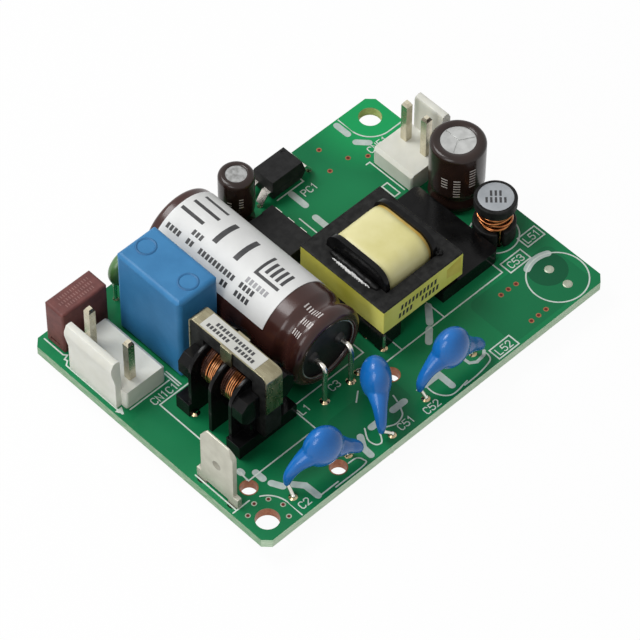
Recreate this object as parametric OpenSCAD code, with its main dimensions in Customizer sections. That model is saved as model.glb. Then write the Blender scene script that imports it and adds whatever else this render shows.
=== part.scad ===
// Open-frame switching power supply: the board and every component on it as separate pieces.
// Millimetres. +X runs from the mains input to the output, +Z is the component side.
// The origin is midway between the mounting holes, on the underside of the board.

/* [Board] */
// Length of the board from the input end to the output end
board_l = 66; // [66:0.5:74]
// Width of the board
board_w = 47.5; // [47.5:0.5:54]
// Thickness of the board
board_t = 1.6; // [1:0.1:2.4]
// Chamfer on the board's corners
board_chamfer = 1.1; // [0.5:0.1:2]
// Diameter of the mounting holes
mount_hole_d = 3.5; // [3:0.1:4]
// Distance of the mounting holes from the board's edges
mount_inset = 3; // [2.8:0.1:3.4]
// Diameter of the spare plated holes
spare_hole_d = 2.4; // [1.5:0.1:2.6]

/* [Leads and solder] */
// Length of every lead below the board
lead_drop = 2.4; // [2.4:0.1:3.4]
// Room in a drilled hole, on its diameter
drill_clearance = 0.3; // [0.2:0.05:0.5]
// Spread of a solder fillet beyond its lead
solder_w = 0.55; // [0.4:0.05:0.6]
// Height of a solder fillet
solder_h = 1; // [0.6:0.1:1.4]
// Diameter of the thin component leads
lead_d = 0.6; // [0.5:0.05:0.8]

/* [Headers] */
// Spacing of the header positions
header_pitch = 3.96; // [3.9:0.02:4.2]
// Side of the square header pins
header_pin = 1.14; // [0.8:0.02:1.3]
// Height of the header pins above the board
header_pin_h = 11.3; // [10.5:0.1:13]
// Width of the flat at the tip of a pin
header_tip_w = 0.66; // [0.4:0.02:0.76]
// Height of the tip's taper
header_tip_h = 0.55; // [0.3:0.05:1.2]
// Reach of a header's base beyond its outer pins
header_end = 1.95; // [1.6:0.05:2.2]
// Depth of a header from its wall to the back of its base
header_depth = 8.15; // [7:0.05:8.6]
// Height of a header's base
header_base_h = 3.5; // [2.5:0.1:4.5]
// Height of the locking wall above the board
header_wall_h = 10; // [9:0.1:11]
// Thickness of the locking wall
header_wall_t = 1.05; // [0.8:0.05:1.4]
// Setback of the locking wall from the ends of the base
header_wall_setback = 1.1; // [0.6:0.1:1.6]
// Reach of the locking lip beyond the wall
header_lip = 0.6; // [0.3:0.05:0.7]
// Distance from the wall's outer face to the pins
header_pin_in = 3.45; // [3:0.05:4]
// Setback of a header's wall from the end of the board
header_edge = 0.75; // [0.75:0.05:1]
// Least gap between the input header and the film capacitor
header_film_gap = 0.3; // [0.2:0.05:0.6]
// Distance of the output header's middle from the board's middle
output_header_off = 10.25; // [10:0.05:10.6]

/* [Earth tab] */
// Width of the tab's blade
tab_w = 6.35; // [5.5:0.05:6.6]
// Thickness of the tab
tab_t = 0.8; // [0.6:0.05:1]
// Height of the tab above the board
tab_h = 11.4; // [9:0.1:12]
// Width across the tab's shoulders
tab_shoulder_w = 8.1; // [7.4:0.1:8.6]
// Distance of the tab from the input end of the board
tab_edge = 1.2; // [1.1:0.05:1.6]
// Distance of the tab's middle from the long edge
tab_in = 11; // [10.5:0.1:11.5]

/* [Fuse and film capacitor] */
// Length of the fuse body
fuse_l = 8.3; // [7.6:0.1:8.6]
// Thickness of the fuse body
fuse_w = 3.8; // [3:0.1:4]
// Height of the fuse body
fuse_h = 8.3; // [7:0.1:9]
// Spacing of the fuse leads
fuse_pitch = 5.08; // [4.8:0.02:5.4]
// Distance of the fuse from the input end of the board
fuse_end = 1.95; // [1.6:0.05:2.2]
// Distance of the fuse from the long edge
fuse_edge = 0.95; // [0.6:0.05:1.2]
// Least gap between the fuse and the thermistor
fuse_thermistor_gap = 0.6; // [0.4:0.05:1]
// Gap between the fuse and the input header
fuse_header_gap = 1.25; // [1:0.05:1.5]
// Thickness of the film capacitor
film_t = 7.3; // [6:0.1:7.6]
// Width of the film capacitor
film_w = 12.8; // [11.5:0.1:13.2]
// Height of the film capacitor
film_h = 16.2; // [12:0.1:18]
// Spacing of the film capacitor's leads
film_pitch = 10; // [9:0.1:10.5]
// Distance of the film capacitor's middle from the board's middle
film_off = 11.1; // [10.9:0.05:11.3]
// Gap between the film capacitor and the reservoir capacitor
film_gap = 0.3; // [0.2:0.05:0.6]
// Diameter of the inrush thermistor
thermistor_d = 6.2; // [5:0.1:6.4]
// Thickness of the inrush thermistor
thermistor_t = 3.2; // [2.4:0.1:3.4]
// Height of the thermistor's middle above the board
thermistor_h = 5.4; // [4.5:0.1:6.5]
// Spacing of the thermistor's leads
thermistor_pitch = 4.4; // [4:0.1:4.8]
// Distance of the thermistor's middle from the board's middle
thermistor_off = 21.4; // [21.2:0.05:21.6]
// Reach of the thermistor over the reservoir capacitor's side
thermistor_lap = 0.55; // [0.3:0.05:0.8]

/* [Common-mode choke] */
// Distance of the choke's middle from the board's middle
choke_off = 4.65; // [4.5:0.05:4.8]
// Length of the choke's core
choke_core_l = 14.8; // [14.2:0.1:15]
// Thickness of the choke's core
choke_core_t = 3; // [2.6:0.1:3.2]
// Height of the choke's core
choke_core_h = 12.9; // [12.5:0.1:13.4]
// Thickness of the core's outer limbs
choke_limb = 2.4; // [2.1:0.05:2.5]
// Thickness of the core's end yokes
choke_yoke = 2.6; // [2.2:0.05:2.8]
// Height of the core's centre limb
choke_centre = 3.4; // [3:0.05:3.5]
// Height of the core above the board
choke_core_z = 2.2; // [1.8:0.1:2.6]
// Room between core and bobbin
choke_fit = 0.1; // [0.05:0.01:0.15]
// Wall of the bobbin's barrel
choke_wall = 0.5; // [0.4:0.05:0.6]
// Width of the bobbin's flanges
choke_flange_w = 9.8; // [9.2:0.1:10.2]
// Thickness of the bobbin's three flanges
choke_flange_t = 0.6; // [0.5:0.05:0.75]
// Rounding of the flanges' top corners
choke_flange_r = 3.6; // [2:0.1:4]
// Length of a winding between two flanges
choke_section = 3.4; // [3.2:0.05:3.5]
// Length of the bobbin
choke_bobbin_l = 12.7; // [12.4:0.1:13]
// Width of the collars on the bobbin's ends
choke_collar_w = 9.6; // [9:0.1:9.8]
// Height of the collars
choke_collar_h = 4.4; // [4.2:0.1:4.8]
// Bevel along the collars' edges
choke_collar_bevel = 1.1; // [0.6:0.1:1.3]
// Width of the necks between collars and foot rails
choke_neck_w = 5.6; // [4.6:0.1:6]
// Setback of the necks from the bobbin's ends
choke_neck_in = 0.6; // [0.3:0.1:1]
// Width of the bobbin's foot rails
choke_rail_w = 10.8; // [10.2:0.1:11]
// Height of the bobbin's foot rails
choke_rail_h = 2.6; // [2.2:0.1:3]
// Room between the windings and the core
choke_winding_room = 0.65; // [0.4:0.05:0.9]
// Sheet thickness of the clip
choke_clip_t = 0.3; // [0.2:0.05:0.4]
// Depth of the clip's end legs
choke_clip_leg = 7.6; // [5:0.1:9]
// Width of the clip's hook tabs
choke_hook_w = 2.2; // [1.4:0.1:3]
// Gap between the choke and the reservoir capacitor
choke_gap = 0.55; // [0.4:0.05:1]
// Diameter of the choke's pins
choke_pin_d = 0.8; // [0.6:0.05:0.9]

/* [Reservoir capacitor] */
// Diameter over the sleeve
bulk_d = 13; // [12.4:0.1:13.4]
// Length of the can
bulk_l = 30.4; // [29:0.1:31]
// Distance of the capacitor's axis from the board's middle
bulk_off = 8.13; // [7.9:0.01:8.3]
// Distance of the closed end from the board's middle
bulk_end = 20.6; // [20.2:0.05:21]
// Gap between the sleeve and the board
bulk_standoff = 1; // [0.5:0.1:1.5]
// Spacing of the leads
bulk_pitch = 5; // [4.5:0.1:5.5]
// Diameter of the leads
bulk_lead_d = 0.8; // [0.6:0.05:0.9]
// Reach of the leads beyond the bung before they turn down
bulk_lead_out = 1.7; // [1.4:0.1:2.2]
// Bend radius of the leads
bulk_bend = 1; // [0.8:0.1:1.3]
// Width of the label along the can
bulk_label_w = 22; // [18:0.5:22]
// Thickness of the label
bulk_label_t = 0.1; // [0.06:0.02:0.16]

/* [Capacitor cans] */
// Thickness of the sleeves
sleeve_t = 0.15; // [0.1:0.01:0.2]
// Rounding of the can's ends
can_corner = 0.7; // [0.5:0.05:0.8]
// Radius of the crimp groove
crimp_r = 1.1; // [0.8:0.05:1.2]
// Depth of the crimp groove
crimp_depth = 0.7; // [0.4:0.05:0.8]
// Width of the can's rolled rim round the bung
can_rim = 1; // [0.8:0.05:1.2]
// Reach of the bung beyond the can
bung_out = 0.3; // [0.2:0.05:0.4]
// Depth of the bung in the can
bung_in = 1.4; // [1:0.1:2]
// Width of the vent scores
vent_w = 0.25; // [0.15:0.05:0.4]
// Diameter of the output capacitor over its sleeve
out_cap_d = 8.2; // [7.4:0.1:8.4]
// Length of the output capacitor's can
out_cap_l = 11.4; // [10:0.1:13]
// Lead spacing of the output capacitor
out_cap_pitch = 3.5; // [3:0.1:3.8]
// Gap between the output capacitor and the transformer
out_cap_gap = 0.4; // [0.2:0.05:0.5]
// Distance of the output capacitor's middle from the board's middle
out_cap_off = 1.9; // [1.7:0.05:2]
// Diameter of the supply capacitor over its sleeve
supply_cap_d = 5.3; // [4.8:0.1:5.6]
// Length of the supply capacitor's can
supply_cap_l = 10.4; // [9:0.1:12]
// Lead spacing of the supply capacitor
supply_cap_pitch = 2; // [1.8:0.1:2.2]
// Distance of the supply capacitor's middle towards the output
supply_cap_out = 2.4; // [2.3:0.05:2.6]
// Distance of the supply capacitor's middle from the board's middle
supply_cap_off = 19.7; // [19.6:0.05:20]

/* [Dipped capacitors] */
// Diameter of the dipped body
dip_d = 7.2; // [6.6:0.1:7.6]
// Thickness of the dipped body
dip_t = 4.3; // [3.6:0.1:4.6]
// Height of the body's middle above the board
dip_h = 6.2; // [5.8:0.1:6.8]
// Roundness of the body's rim, as a radius
dip_rim = 1.4; // [1:0.1:1.6]
// Diameter of a coated leg
dip_leg_d = 2.1; // [1.6:0.05:2.2]
// Diameter of the end of a coated leg
dip_leg_end_d = 1.3; // [1.1:0.05:1.5]
// Length of the tapered end of a coated leg
dip_leg_end_h = 0.9; // [0.5:0.1:1.4]
// Distance of a leg's end from the body's middle
dip_reach = 5.6; // [5.3:0.1:6]
// Height of the end of a coated leg above the board
dip_leg_h = 1.7; // [1.4:0.1:2.2]
// Bow of the first leg, as a radius
dip_bow_a = 3; // [2.6:0.1:3.2]
// Bow of the second leg, as a radius
dip_bow_b = 2.2; // [1.8:0.1:2.6]
// Middle of the dipped capacitor at the input
dip_input_at = [-19.4, -20.5]; // [-24:0.05:24]
// Middle of the dipped capacitor between the two sides
dip_middle_at = [-6.25, -17.25]; // [-24:0.05:24]
// Middle of the dipped capacitor at the output
dip_output_at = [4.9, -20.65]; // [-24:0.05:24]
// Turns of the three dipped capacitors, in degrees
dip_turns = [-14, 54, -3]; // [-90:1:90]
// Holes of the dipped capacitor at the input
dip_input_holes = [-25, -20.5, -14.7, -20.6]; // [-32:0.05:32]
// Holes of the dipped capacitor between the two sides
dip_middle_holes = [-8, -22.35, -3.8, -11.45]; // [-32:0.05:32]
// Holes of the dipped capacitor at the output
dip_output_holes = [-0.3, -21.15, 9.9, -20.1]; // [-32:0.05:32]

/* [Transformer] */
// Length of the core
trafo_core_l = 15.3; // [15:0.1:15.6]
// Width of the core
trafo_core_w = 16.4; // [16:0.1:16.8]
// Height of the core
trafo_core_h = 4.8; // [4.4:0.1:5]
// Thickness of the core's side limbs
trafo_limb = 2.2; // [1.9:0.05:2.3]
// Thickness of the core's end yokes
trafo_yoke = 2.65; // [2.4:0.05:2.7]
// Width of the core's centre limb
trafo_centre = 4.4; // [4:0.1:4.6]
// Height of the core's middle above the board
trafo_h = 6; // [5.9:0.1:6.3]
// Room between core and bobbin
trafo_fit = 0.1; // [0.05:0.01:0.15]
// Wall of the bobbin's barrel
trafo_wall = 0.7; // [0.5:0.05:0.8]
// Thickness of the bobbin's flanges
trafo_flange_t = 0.8; // [0.6:0.05:0.9]
// Height of the winding
trafo_winding_h = 10.7; // [10.2:0.1:10.8]
// Rounding of the winding
trafo_winding_r = 4; // [3:0.1:4.6]
// Reach of the flanges beyond the winding
trafo_flange_reach = 0.25; // [0.15:0.05:0.4]
// Thickness of the tape round the core
trafo_tape_t = 0.12; // [0.08:0.02:0.16]
// Distance of the transformer's middle from the board's middle
trafo_off = 9.05; // [8.9:0.05:9.2]
// Distance of the transformer's middle from the board's middle line
trafo_down = 2.8; // [2.6:0.05:3]
// Reach of the input rail beyond the core
trafo_rail_out = 0.5; // [0.4:0.05:0.8]
// Reach of the output terminal block beyond the core
trafo_block_out = 7.55; // [7:0.05:7.6]
// Height of the output terminal block
trafo_block_h = 2.6; // [2.2:0.1:3]
// Spacing of the transformer pins
trafo_pitch = 3.2; // [3:0.05:3.3]
// Diameter of the transformer pins
trafo_pin_d = 0.7; // [0.6:0.05:0.8]

/* [Output inductor] */
// Diameter of the drum core
drum_d = 6.3; // [5.8:0.1:6.6]
// Height of the drum core
drum_h = 7.9; // [7:0.1:9]
// Thickness of the drum's top flange
drum_top = 1.7; // [1.2:0.1:2]
// Thickness of the drum's foot
drum_foot = 3; // [2:0.1:3.2]
// Diameter of the drum's waist
drum_waist = 3; // [2.6:0.1:3.4]
// Diameter of the inductor's wire
drum_wire = 0.6; // [0.5:0.05:0.65]
// Gap between the drum and the transformer
drum_gap = 0.15; // [0.1:0.05:0.4]
// Distance of the drum's middle from the board's middle
drum_off = 6.9; // [6.7:0.05:7.1]
// Turn of the line between the wire tails, in degrees
drum_turn = 62; // [40:1:80]

/* [Packages] */
// Length of the switching package
ic_l = 9.3; // [8.6:0.1:9.8]
// Width of the switching package
ic_w = 6.4; // [6:0.1:6.6]
// Height of the switching package
ic_h = 3.3; // [2.8:0.1:3.6]
// Length of the optocoupler along its lead rows
opto_l = 4.6; // [4.2:0.1:5]
// Width of the optocoupler
opto_w = 6.5; // [6:0.1:7]
// Height of the optocoupler
opto_h = 3.5; // [3:0.1:3.8]
// Gap between a package and the board
package_gap = 0.5; // [0.3:0.05:0.7]
// Spacing of package leads in a row
package_pitch = 2.54; // [2.4:0.02:2.6]
// Thickness of package leads
package_lead_t = 0.25; // [0.2:0.01:0.3]
// Width of package leads at the board
package_lead_w = 0.5; // [0.4:0.05:0.6]
// Distance between the rows of the switching package
ic_rows = 7.62; // [7.4:0.02:7.8]
// Distance between the rows of the optocoupler
opto_rows = 9.7; // [9.3:0.02:10.2]
// Distance of the switching package's middle towards the output
ic_out = 3.3; // [3.2:0.05:3.5]
// Distance of the switching package's middle from the board's middle
ic_off = 12.05; // [11.9:0.05:12.2]
// Distance of the optocoupler's middle towards the output
opto_out = 11.65; // [11.4:0.05:12]
// Distance of the optocoupler's middle from the board's middle
opto_off = 20.9; // [20.6:0.05:21.2]

/* [Underside] */
// Length of a chip part
chip_l = 2; // [1.6:0.1:2.2]
// Width of a chip part
chip_w = 1.25; // [1:0.05:1.3]
// Height of a chip resistor
chip_r_h = 0.5; // [0.4:0.05:0.6]
// Height of a chip capacitor
chip_c_h = 0.9; // [0.7:0.05:1.2]
// Width of the bridge rectifier
bridge_w = 4.4; // [4:0.1:4.8]
// Length of the bridge rectifier
bridge_l = 5.2; // [4.8:0.1:5.6]
// Spacing of the bridge rectifier's leads
bridge_pitch = 4; // [3.6:0.1:4.4]
// Height of the bridge rectifier
bridge_h = 1.4; // [1.2:0.1:1.8]
// Width of the output rectifier
rectifier_w = 6.5; // [6.2:0.1:6.8]
// Length of the output rectifier
rectifier_l = 6.1; // [5.8:0.1:6.3]
// Width of the output rectifier's tab
rectifier_tab_w = 5.4; // [5:0.1:5.8]
// Reach of the tab beyond the output rectifier
rectifier_tab_out = 0.95; // [0.7:0.05:1.2]
// Thickness of the tab
rectifier_tab_t = 0.6; // [0.4:0.05:0.7]
// Spacing of the output rectifier's leads
rectifier_pitch = 4.56; // [4.4:0.02:4.8]
// Reach of the output rectifier's leads
rectifier_lead_out = 2.2; // [1.8:0.1:2.4]
// Height of the output rectifier
rectifier_h = 2.1; // [1.8:0.1:2.2]
// Width of the shunt regulator
shunt_w = 1.3; // [1.1:0.05:1.5]
// Length of the shunt regulator
shunt_l = 2.9; // [2.7:0.05:3.1]
// Height of the shunt regulator
shunt_h = 1; // [0.8:0.05:1.2]

/* [Hidden] */
end_x = board_l / 2;
edge_y = board_w / 2;
mount_x = end_x - mount_inset;
mount_y = edge_y - mount_inset;

bulk_x = -bulk_off;
bulk_r = bulk_d / 2 - sleeve_t;
bulk_side_x = bulk_x - bulk_d / 2;
bulk_z = board_t + bulk_standoff + bulk_d / 2;
bulk_y0 = bulk_end;
bulk_y1 = bulk_y0 - bulk_l - bung_out;
bulk_hole_y = bulk_y1 - bulk_lead_out;
film_x = bulk_side_x - film_gap - film_t / 2;
film_y = film_off;
film_foot_h = 0.5;
thermistor_x = bulk_side_x + thermistor_lap - thermistor_d / 2;
thermistor_y = thermistor_off;
thermistor_z = board_t + thermistor_h;

// The fuse and the input header sit at the end of the board, clear of what stands behind them
fuse_x = min(fuse_end - end_x, thermistor_x - thermistor_d / 2 - fuse_thermistor_gap - fuse_l) + fuse_l / 2;
fuse_y = edge_y - fuse_edge - fuse_w / 2;
input_w = 2 * header_pitch + 2 * header_end;
output_w = header_pitch + 2 * header_end;
input_y = fuse_y - fuse_w / 2 - fuse_header_gap - input_w / 2;
input_x = min(header_edge - end_x, film_x - film_t / 2 - header_film_gap - header_depth);
output_y = output_header_off;
output_x = end_x - header_edge;
tab_x = -end_x + tab_edge + tab_t / 2;
tab_y = -edge_y + tab_in;
tab_foot_w = 1.6;
tab_foot_off = (tab_shoulder_w - tab_foot_w) / 2 - 0.3;

choke_x = bulk_side_x - choke_gap - choke_rail_w / 2;
choke_y = -choke_off;
choke_z0 = board_t + choke_core_z;
choke_z = choke_z0 + choke_core_h / 2;
choke_win_z = choke_core_h / 2 - choke_limb;
choke_win_y = choke_core_l / 2 - choke_yoke;
choke_barrel_z = choke_centre / 2 + choke_fit + choke_wall;
choke_barrel_x = choke_core_t / 2 + choke_fit + choke_wall;
choke_winding_ro = choke_win_z - choke_winding_room;
choke_end_y = choke_flange_t / 2 + choke_section;
choke_collar_t = choke_bobbin_l / 2 - choke_end_y;
choke_pin_x = choke_rail_w / 2 - 1.1;
choke_pin_y = choke_bobbin_l / 2 - 1.4;
choke_hook_z = choke_z + choke_win_z - 0.35;

supply_cap_x = supply_cap_out;
supply_cap_y = supply_cap_off;

trafo_x = trafo_off;
trafo_y = -trafo_down;
trafo_z = board_t + trafo_h;
trafo_win_x = trafo_core_l / 2 - trafo_yoke;
trafo_win_y = trafo_core_w / 2 - trafo_limb;
trafo_winding_w = 2 * (trafo_win_y - trafo_fit - trafo_flange_reach);
trafo_winding_l = 2 * (trafo_win_x - trafo_flange_t);
trafo_barrel_y = trafo_centre / 2 + trafo_fit + trafo_wall;
trafo_barrel_z = trafo_core_h / 2 + trafo_fit + trafo_wall;
trafo_rail_x = trafo_core_l / 2 + trafo_rail_out;
trafo_block_x = trafo_core_l / 2 + trafo_block_out;
trafo_under = trafo_h - trafo_core_h / 2 - trafo_fit;

trafo_end_x = trafo_x + trafo_block_x;
out_cap_x = trafo_end_x + out_cap_gap + out_cap_d / 2;
out_cap_y = out_cap_off;
drum_x = trafo_end_x + drum_gap + drum_d / 2;
drum_y = -drum_off;
drum_turns_r = drum_d / 2 - 0.4;
drum_tail = drum_d / 2 - 0.75;

ic_x = ic_out;
ic_y = ic_off;
opto_x = opto_out;
opto_y = opto_off;

// The dipped capacitors: middle, turn about Z and the two holes
dip_input = [dip_input_at, dip_turns[0], holes(dip_input_holes)];
dip_middle = [dip_middle_at, dip_turns[1], holes(dip_middle_holes)];
dip_output = [dip_output_at, dip_turns[2], holes(dip_output_holes)];

spare_at = [[-28.26, -15.24], [-17.14, -21.21], [-0.86, -14.94]];
bare_at = [[28.37, -17.08], [28.37, -20.71]];
bare_d = 0.9;

function holes(v) = [[v[0], v[1]], [v[2], v[3]]];
function pair_x(x, y, pitch) = [[x - pitch / 2, y], [x + pitch / 2, y]];
function pair_y(x, y, pitch) = [[x, y - pitch / 2], [x, y + pitch / 2]];
function row_y(x, y, pitch, n) = [for (i = [0 : n - 1]) [x, y + (i - (n - 1) / 2) * pitch]];
function sized(at, d) = [for (p = at) [p[0], p[1], d]];
function flat(at, wx, wy) = [for (p = at) [p[0], p[1], wx, wy]];

fuse_at = pair_x(fuse_x, fuse_y, fuse_pitch);
film_at = pair_y(film_x, film_y, film_pitch);
thermistor_at = pair_x(thermistor_x, thermistor_y, thermistor_pitch);
choke_at = [for (sx = [-1, 1], sy = [-1, 1]) [choke_x + sx * choke_pin_x, choke_y + sy * choke_pin_y]];
bulk_at = pair_x(bulk_x, bulk_hole_y, bulk_pitch);
out_cap_at = pair_y(out_cap_x, out_cap_y, out_cap_pitch);
supply_cap_at = pair_x(supply_cap_x, supply_cap_y, supply_cap_pitch);
drum_at = [for (s = [-drum_tail, drum_tail])
  [drum_x + s * cos(drum_turn), drum_y + s * sin(drum_turn)]];
trafo_in_at = row_y(trafo_x - trafo_rail_x + 0.7, trafo_y, trafo_pitch, 6);
trafo_out_at = row_y(trafo_x + trafo_block_x - 1.5, trafo_y, trafo_pitch, 4);
input_at = [for (s = [-1, 1]) [input_x + header_pin_in, input_y + s * header_pitch]];
output_at = [for (s = [-0.5, 0.5]) [output_x - header_pin_in, output_y + s * header_pitch]];
tab_at = [for (s = [-1, 1]) [tab_x, tab_y + s * tab_foot_off]];
ic_at = concat(row_y(ic_x - ic_rows / 2, ic_y, package_pitch, 4),
               row_y(ic_x + ic_rows / 2, ic_y, package_pitch, 4));
opto_at = concat(row_y(opto_x - opto_rows / 2, opto_y, package_pitch, 2),
                 row_y(opto_x + opto_rows / 2, opto_y, package_pitch, 2));

round_leads = concat(
  sized(concat(fuse_at, film_at, thermistor_at, out_cap_at, supply_cap_at), lead_d),
  sized(concat(dip_input[2], dip_middle[2], dip_output[2]), lead_d),
  sized(choke_at, choke_pin_d),
  sized(bulk_at, bulk_lead_d),
  sized(drum_at, drum_wire),
  sized(concat(trafo_in_at, trafo_out_at), trafo_pin_d));
flat_leads = concat(
  flat(concat(input_at, output_at), header_pin, header_pin),
  flat(tab_at, tab_t, tab_foot_w),
  flat(concat(ic_at, opto_at), package_lead_t, package_lead_w));

bridge_at = [-10, 8];
rectifier_at = [21.4, -16.75];
shunt_at = [19, 14.3];
chip_r_at = [[-5, -3], [-5, -0.6], [-5, 1.8], [-5, 4.2], [20.4, 18], [20.4, 20], [23.4, 18], [23.4, 20],
             [14.6, -16.35], [14.6, -18.55]];
chip_c_at = [[3.3, 10.6], [3.3, 13.4], [-5, 7.4], [20, 8.6], [20, 10.8], [23.4, 14.4]];

// Shared shapes

module rounded_rect(l, w, r) {
  square([l - 2 * r, w], center = true);
  square([l, w - 2 * r], center = true);
  for (sx = [-1, 1], sy = [-1, 1])
    translate([sx * (l / 2 - r), sy * (w / 2 - r)]) circle(r, $fn = 32);
}

// A profile drawn in X and Z, extruded along Y about its middle
module along_y(w) {
  rotate([90, 0, 0]) linear_extrude(w, center = true) children();
}

// A profile drawn in Y and Z, extruded along X about its middle
module along_x(l) {
  rotate([90, 0, 90]) linear_extrude(l, center = true) children();
}

module soft_box(l, w, h, r) {
  intersection() {
    linear_extrude(h) rounded_rect(l, w, r);
    translate([0, 0, h / 2]) along_y(w + 1) rounded_rect(l, h, r);
    translate([0, 0, h / 2]) along_x(l + 1) rounded_rect(w, h, r);
  }
}

module lead_down(p, d, top) {
  translate([p[0], p[1], -lead_drop]) cylinder(d = d, h = lead_drop + top, $fn = 24);
}

module drill(p, d) {
  translate([p[0], p[1], -1]) cylinder(d = d, h = board_t + 2, $fn = 32);
}

// Board and solder

module board_outline() {
  c = board_chamfer;
  polygon([[c - end_x, -edge_y], [end_x - c, -edge_y], [end_x, c - edge_y], [end_x, edge_y - c],
           [end_x - c, edge_y], [c - end_x, edge_y], [-end_x, edge_y - c], [-end_x, c - edge_y]]);
}

module pcb() color("darkgreen") difference() {
  linear_extrude(board_t) board_outline();
  for (s = [-1, 1]) drill([s * mount_x, s * mount_y], mount_hole_d);
  for (p = spare_at) drill(p, spare_hole_d);
  for (p = bare_at) drill(p, bare_d);
  for (p = round_leads) drill(p, p[2] + drill_clearance);
  for (p = flat_leads) drill(p, norm([p[2], p[3]]) + drill_clearance);
}

module fillet_profile(r) {
  polygon([[0, 0], [r + solder_w, 0], [r + 0.3 * solder_w, -0.5 * solder_h], [r, -solder_h], [0, -solder_h]]);
}

module solder_joints() color("silver") {
  for (p = round_leads)
    translate([p[0], p[1], 0]) rotate_extrude($fn = 32)
      polygon([[p[2] / 2, 0], [p[2] / 2 + solder_w, 0], [p[2] / 2 + 0.3 * solder_w, -0.5 * solder_h],
               [p[2] / 2, -solder_h]]);
  for (p = flat_leads)
    translate([p[0], p[1], 0]) difference() {
      rotate_extrude($fn = 32) fillet_profile(norm([p[2], p[3]]) / 2);
      cube([p[2], p[3], 4 * solder_h], center = true);
    }
  for (p = bare_at)
    translate([p[0], p[1], 0]) {
      cylinder(d = bare_d, h = board_t, $fn = 32);
      translate([0, 0, -0.3]) cylinder(d1 = bare_d, d2 = bare_d + 1, h = 0.3, $fn = 32);
    }
}

// Headers

module header_at_input() {
  translate([input_x, input_y, board_t]) children();
}

module header_at_output() {
  translate([output_x, output_y, board_t]) rotate([0, 0, 180]) children();
}

module header_body(base_w) {
  h = header_wall_h;
  t = header_wall_t;
  base_x = (header_depth + t) / 2;
  translate([base_x - 0.05, 0, 0]) intersection() {
    linear_extrude(header_base_h) rounded_rect(header_depth - t + 0.1, base_w, 0.4);
    along_y(base_w) polygon([[-header_depth, 0], [header_depth / 2 - t / 2 - 0.25, 0],
      [header_depth / 2 - t / 2 + 0.05, 0.3], [header_depth / 2 - t / 2 + 0.05, header_base_h - 0.5],
      [header_depth / 2 - t / 2 - 0.45, header_base_h], [-header_depth, header_base_h]]);
  }
  along_y(base_w - 2 * header_wall_setback)
    polygon([[0, 0], [0, h - 4.8], [-header_lip, h - 2], [-header_lip, h - 1.1], [-0.15, h - 0.1],
             [0.3, h], [t - 0.2, h - 0.15], [t, h - 0.6], [t, 0]]);
}

module header_pin_profile() {
  half = header_pin / 2;
  tip = header_tip_w / 2;
  top = header_pin_h;
  low = -board_t - lead_drop;
  polygon([[-half, low], [half, low], [half, top - header_tip_h], [tip, top], [-tip, top],
           [-half, top - header_tip_h]]);
}

module header_pin_shape() {
  intersection() {
    along_y(header_pin) header_pin_profile();
    along_x(header_pin) header_pin_profile();
  }
}

module input_pins() color("gold")
  for (p = input_at) translate([p[0], p[1], board_t]) header_pin_shape();

module output_pins() color("gold")
  for (p = output_at) translate([p[0], p[1], board_t]) header_pin_shape();

module input_header() color("ivory") difference() {
  header_at_input() header_body(input_w);
  for (p = input_at) translate([p[0], p[1], 0]) cube([header_pin, header_pin, 40], center = true);
}

module output_header() color("ivory") difference() {
  header_at_output() header_body(output_w);
  for (p = output_at) translate([p[0], p[1], 0]) cube([header_pin, header_pin, 40], center = true);
}

// Earth tab

module tab_profile() {
  b = tab_w / 2;
  s = tab_shoulder_w / 2;
  g = 2.15;
  polygon([[-s, 0], [-g, 0], [-g, 0.4], [g, 0.4], [g, 0], [s, 0], [s, 1.8], [b, 1.8], [b, tab_h - 1.5],
           [b - 1, tab_h], [1 - b, tab_h], [-b, tab_h - 1.5], [-b, 1.8], [-s, 1.8]]);
  for (side = [-1, 1])
    translate([side * tab_foot_off - tab_foot_w / 2, -board_t - lead_drop])
      square([tab_foot_w, board_t + lead_drop + 0.2]);
}

module earth_tab() color("silver")
  translate([tab_x, tab_y, board_t]) difference() {
    intersection() {
      along_x(tab_t) tab_profile();
      along_y(20) polygon([[-tab_t / 2, -10], [tab_t / 2, -10], [tab_t / 2, tab_h - 1], [0.15, tab_h],
                           [-0.15, tab_h], [-tab_t / 2, tab_h - 1]]);
    }
    for (s = [-1, 1]) translate([s * (tab_t / 2 + 0.9), 0, tab_h - 5.4]) sphere(r = 1.2, $fn = 32);
  }

// Fuse, film capacitor and thermistor

module fuse_leads() color("silver") for (p = fuse_at) lead_down(p, lead_d, board_t);

module fuse() color("saddlebrown") difference() {
  translate([fuse_x, fuse_y, board_t]) soft_box(fuse_l, fuse_w, fuse_h, 0.4);
  translate([fuse_x - fuse_l / 2, fuse_y, board_t + 1.2]) cube([0.6, 2, 0.45], center = true);
}

module film_capacitor_leads() color("silver") for (p = film_at) lead_down(p, lead_d, board_t + film_foot_h);

module film_capacitor() color("skyblue") translate([film_x, film_y, board_t]) difference() {
  soft_box(film_t, film_w, film_h, 0.7);
  cube([film_t + 1, film_w - 4.4, 2 * film_foot_h], center = true);
  cube([film_t - 3.2, film_w + 1, 2 * film_foot_h], center = true);
}

// Turned lens with a round rim that runs smoothly into both faces, its axis along Y
module lens(d, t, rim) {
  rise = t / 2;
  run = d / 2 - rim;
  big = (run * run + rise * rise - rim * rim) / (2 * (rise - rim));
  touch = run * big / (big - rim);
  rotate([90, 0, 0]) rotate_extrude($fn = 48) {
    intersection() {
      translate([0, rise - big]) circle(big, $fn = 96);
      translate([0, big - rise]) circle(big, $fn = 96);
      translate([0, -rise]) square([touch, t]);
    }
    translate([run, 0]) circle(rim, $fn = 32);
  }
}

module thermistor_wires() for (p = thermistor_at) lead_down(p, lead_d, thermistor_z - 0.6);

module inrush_thermistor_leads() color("silver") thermistor_wires();

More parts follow.
